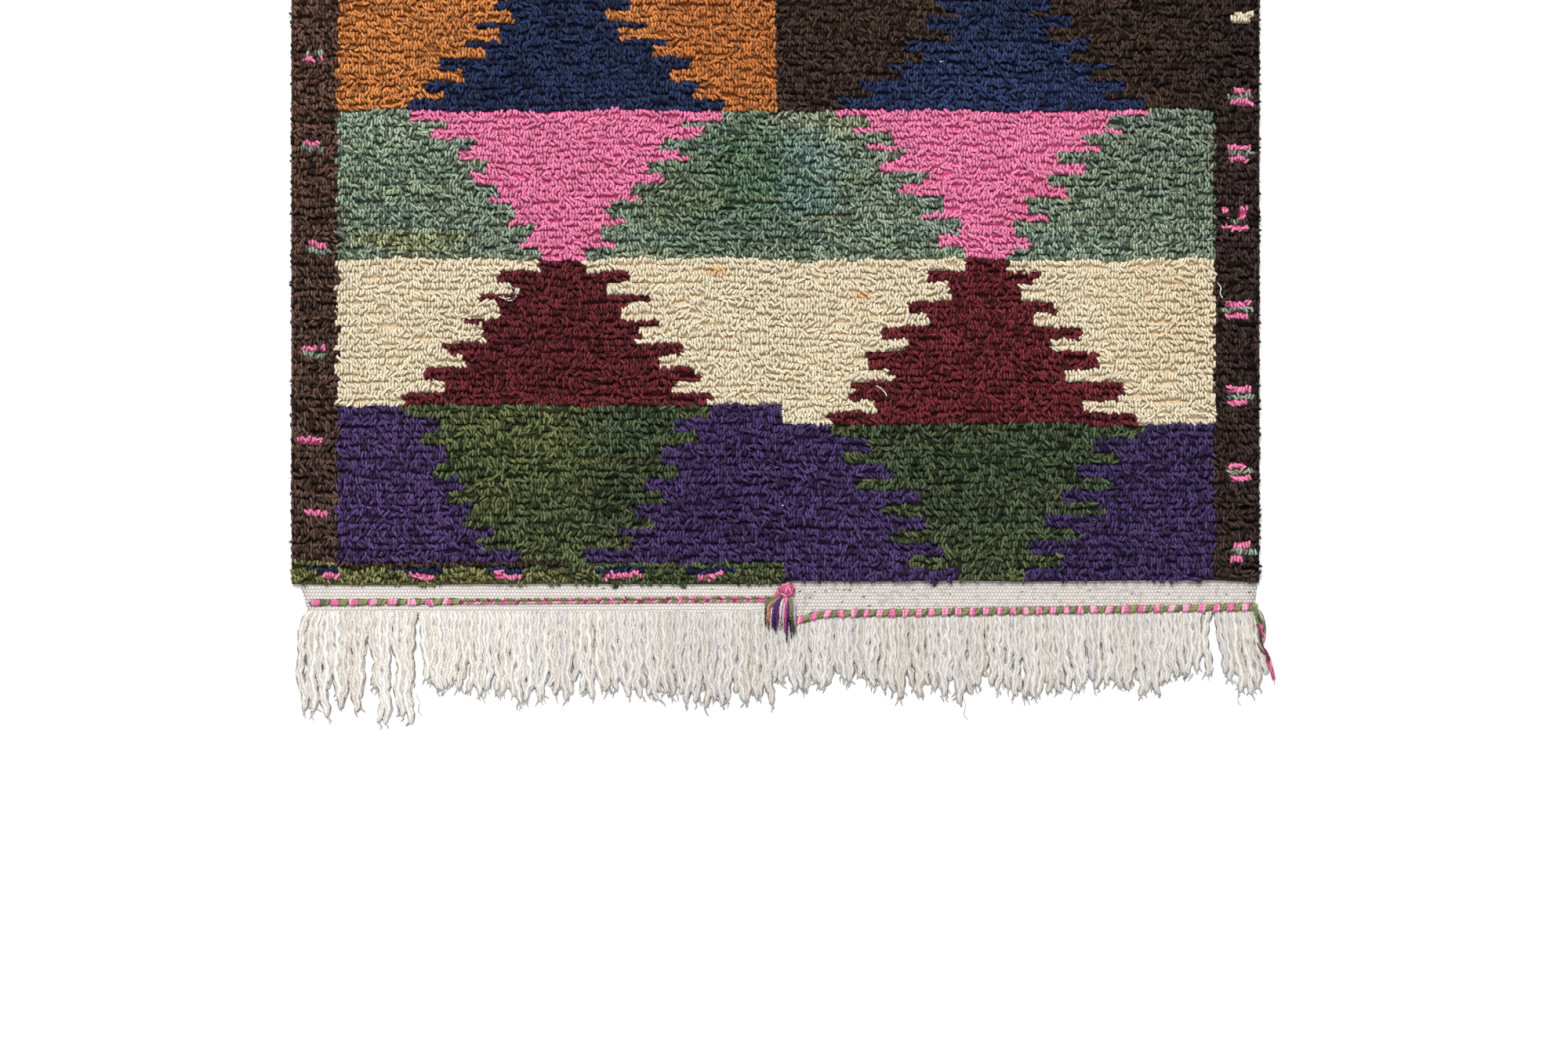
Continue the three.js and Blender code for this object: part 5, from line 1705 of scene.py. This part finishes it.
SKIRT_YARNS = [
    ([(-0.004, -0.774), (-0.010, -0.777), (-0.0150, -0.783), (-0.0170, -0.791)], 0.0015, PINK_YARN),
    ([(-0.004, -0.776), (-0.014, -0.782), (-0.0225, -0.790), (-0.0235, -0.817)], 0.0014, OLIVE_YARN),
    ([(-0.003, -0.778), (-0.013, -0.786), (-0.0205, -0.800), (-0.0195, -0.822)], 0.0013, OLIVE_YARN),
    ([(-0.003, -0.777), (-0.013, -0.783), (-0.0200, -0.793), (-0.0215, -0.812)], 0.0013, PALE_PINK_YARN),
    ([(-0.002, -0.777), (-0.010, -0.784), (-0.0150, -0.794), (-0.0175, -0.810)], 0.0013, GREEN_YARN),
    ([(-0.003, -0.778), (-0.012, -0.785), (-0.0185, -0.796), (-0.0190, -0.814)], 0.0012, ORANGE_PINK_YARN),
    ([(-0.002, -0.778), (-0.011, -0.788), (-0.0160, -0.800), (-0.0165, -0.820)], 0.0012, CREAM_YARN),
    ([(-0.001, -0.778), (-0.009, -0.786), (-0.0138, -0.800), (-0.0145, -0.819)], 0.0016, PURPLE_YARN),
    ([(0.000, -0.778), (-0.008, -0.788), (-0.0112, -0.800), (-0.0118, -0.823)], 0.0017, PURPLE_YARN),
    ([(0.001, -0.779), (-0.006, -0.788), (-0.0086, -0.802), (-0.0094, -0.820)], 0.0015, PURPLE_YARN),
    ([(0.001, -0.779), (-0.004, -0.788), (-0.0062, -0.800), (-0.0110, -0.827)], 0.0012, ORANGE_PINK_YARN),
    ([(0.002, -0.779), (-0.003, -0.787), (-0.0045, -0.800), (-0.0060, -0.822)], 0.0012, CREAM_YARN),
    ([(0.003, -0.779), (-0.001, -0.786), (0.0010, -0.793), (-0.0035, -0.820)], 0.0011, CREAM_YARN),
    ([(0.004, -0.780), (0.001, -0.790), (-0.0010, -0.803), (0.0000, -0.824)], 0.0014, LILAC_YARN),
    ([(0.004, -0.780), (0.003, -0.792), (0.0020, -0.806), (0.0020, -0.826)], 0.0015, MAGENTA_YARN),
    ([(0.001, -0.776), (0.000, -0.783), (0.0015, -0.789), (0.0030, -0.793)], 0.0017, PINK_YARN),
    ([(0.003, -0.776), (0.003, -0.783), (0.0035, -0.790), (0.0045, -0.798)], 0.0014, PALE_PINK_YARN),
    ([(0.005, -0.780), (0.005, -0.792), (0.0046, -0.805), (0.0030, -0.838)], 0.0014, PURPLE_YARN),
    ([(0.005, -0.779), (0.007, -0.790), (0.0070, -0.803), (0.0095, -0.833)], 0.0014, PURPLE_YARN),
    ([(0.006, -0.779), (0.008, -0.788), (0.0085, -0.803), (0.0125, -0.829)], 0.0016, GREEN_YARN),
    ([(0.006, -0.778), (0.010, -0.787), (0.0110, -0.803), (0.0150, -0.826)], 0.0014, GREEN_YARN),
    ([(0.007, -0.777), (0.012, -0.786), (0.0135, -0.800), (0.0142, -0.818)], 0.0012, LILAC_YARN),
]

tassel_cords = [loose_yarn([(*KNOB_MIDDLE, 0.0036), (*KNOB_MIDDLE, 0.0078)], 0.0080, RED_YARN, 5)]
for angle, shift, reach, tint in KNOB_YARNS:
    across = np.array((math.cos(angle), math.sin(angle)))
    aside = np.array((-across[1], across[0]))
    stops = [(*(KNOB_MIDDLE + aside * shift + across * reach * place), height)
             for place, height in ((-1, 0.0046), (-0.62, 0.0086), (0, 0.0106), (0.62, 0.0088), (1, 0.0046))]
    tassel_cords.append(loose_yarn(stops, 0.0019, tint, 12))
for number, (stops, half_width, tint) in enumerate(SKIRT_YARNS):
    heights = [0.0052, 0.0072 + 0.0010 * (number % 3), 0.0066 + 0.0008 * (number % 2), 0.0060]
    line = [(x, y, z) for (x, y), z in zip(stops, heights)]
    tassel_cords.append(loose_yarn(line, half_width * 1.8, tint, 16))
tassel_mesh = cords_mesh("tassel_yarns", tassel_cords, trim_wool, flatness=0.75)
tassel = place_piece(tassel_mesh, "tassel_wool", "tassel")

# Seam thread: a cotton whip stitch that goes over both panels' edges all the way up, under the pile.
SEAM_STITCH = 0.012
SEAM_REACH = 0.0035
seam_y = np.arange(-0.800, 0.834, SEAM_STITCH / 6)
beat = 2 * np.pi * (seam_y + 0.800) / SEAM_STITCH
seam_line = np.stack([seam_x(seam_y) + SEAM_REACH * np.sin(beat), seam_y, 0.0017 + 0.0017 * np.cos(beat)], 1)
seam_cotton = yarn_material("seam cotton", 0.003, 0.3)
seam_cords = [cord(seam_line, 0.0006, (0.66, 0.62, 0.56), hair=True)]
seam_mesh = cords_mesh("seam_thread", seam_cords, seam_cotton)
seam_piece = place_piece(seam_mesh, "ground_cotton", "panel_left", "panel_right")

# Loose ends: a cream loop pulled out of the pile, cream hairs on it, dark bits of weft in the webs, and
# single threads that have come out of the fringe and the selvedges.
PILE_SKIN = 0.0136
DARK_BITS = [
    (0.020, -0.7725), (0.027, -0.781), (0.033, -0.7810), (0.040, -0.773), (0.053, -0.7715), (0.069, -0.771),
    (0.077, -0.771), (0.084, -0.771), (0.102, -0.779), (0.074, -0.786), (0.109, -0.791), (0.147, -0.792),
    (0.165, -0.771), (0.212, -0.776), (0.304, -0.773), (0.391, -0.7715), (0.444, -0.7755), (0.478, -0.773),
    (0.492, -0.7760), (0.566, -0.7765), (0.595, -0.7735), (-0.355, -0.770), (-0.231, -0.7685),
    (-0.092, -0.7695)
]
CREAM_LOOPS = [
    [
        (-0.361, -0.385), (-0.352, -0.383), (-0.344, -0.386), (-0.341, -0.394), (-0.346, -0.401),
        (-0.355, -0.401), (-0.358, -0.395)
    ], [(-0.364, -0.396), (-0.356, -0.399), (-0.349, -0.398)],
    [(0.117, -0.510), (0.123, -0.513), (0.129, -0.519), (0.131, -0.524)],
    [(0.552, -0.378), (0.557, -0.385), (0.556, -0.393), (0.560, -0.399)],
    [(-0.511, -0.465), (-0.517, -0.469), (-0.520, -0.474)],
]
WHITE_SPECKS = [
    (-0.002, -0.663), (0.596, -0.375), (0.200, -0.097), (-0.631, -0.039), (-0.631, -0.628), (0.606, -0.213),
    (0.606, -0.251), (0.607, -0.423), (0.606, -0.700)
]
STRAY_HAIRS = [
    [(-0.601, -0.885), (-0.605, -0.898), (-0.602, -0.912), (-0.604, -0.922)],
    [(0.228, -0.905), (0.232, -0.918), (0.230, -0.930), (0.235, -0.936)],
    [(0.577, -0.885), (0.581, -0.900), (0.580, -0.912), (0.584, -0.918)],
    [(-0.470, -0.905), (-0.466, -0.915), (-0.468, -0.925), (-0.463, -0.931)],
    [(0.366, -0.890), (0.369, -0.903), (0.366, -0.912)],
]
loose_cords = []
for x, y in DARK_BITS:
    half = 0.0009 + 0.0012 * abs(scatter(round(x * 1000), 2))
    tilt = 0.5 * scatter(round(x * 1000), 4)
    bit = [(x - half, y - half * tilt, 0.0028), (x, y, 0.0033), (x + half, y + half * tilt, 0.0028)]
    loose_cords.append(cord(bit, [0.0005, 0.0008, 0.0005], DARK_YARN, hair=True))
for stops in CREAM_LOOPS:
    line = smooth_line([(x, y, PILE_SKIN + 0.0006) for x, y in stops], 14)
    line[0, 2] = line[-1, 2] = PILE_SKIN - 0.0035
    loose_cords.append(cord(line, 0.0010, (0.86, 0.82, 0.72), 0.006))
for x, y in WHITE_SPECKS:
    height = 0.0075 if abs(x) > 0.59 else PILE_SKIN
    speck = [
        (x - 0.0022, y - 0.0006, height - 0.001), (x, y, height + 0.0006),
        (x + 0.0022, y + 0.0007, height - 0.001)
    ]
    loose_cords.append(cord(speck, [0.0004, 0.0011, 0.0004], (0.85, 0.83, 0.78), hair=True))
for stops in STRAY_HAIRS:
    line = smooth_line([(x, y, 0.0014) for x, y in stops], 8)
    loose_cords.append(cord(line, 0.00045, (0.62, 0.58, 0.54), hair=True))
loose_mesh = cords_mesh("loose_ends", loose_cords, seam_cotton)
loose_piece = place_piece(loose_mesh, "ground_cotton", "panel_left", "panel_right")

right_pieces = [*pile_pieces, *fringe_pieces["right"], braid_pieces["right"], braid_pieces["tail"]]
right_pieces += [tassel, seam_piece, loose_piece]
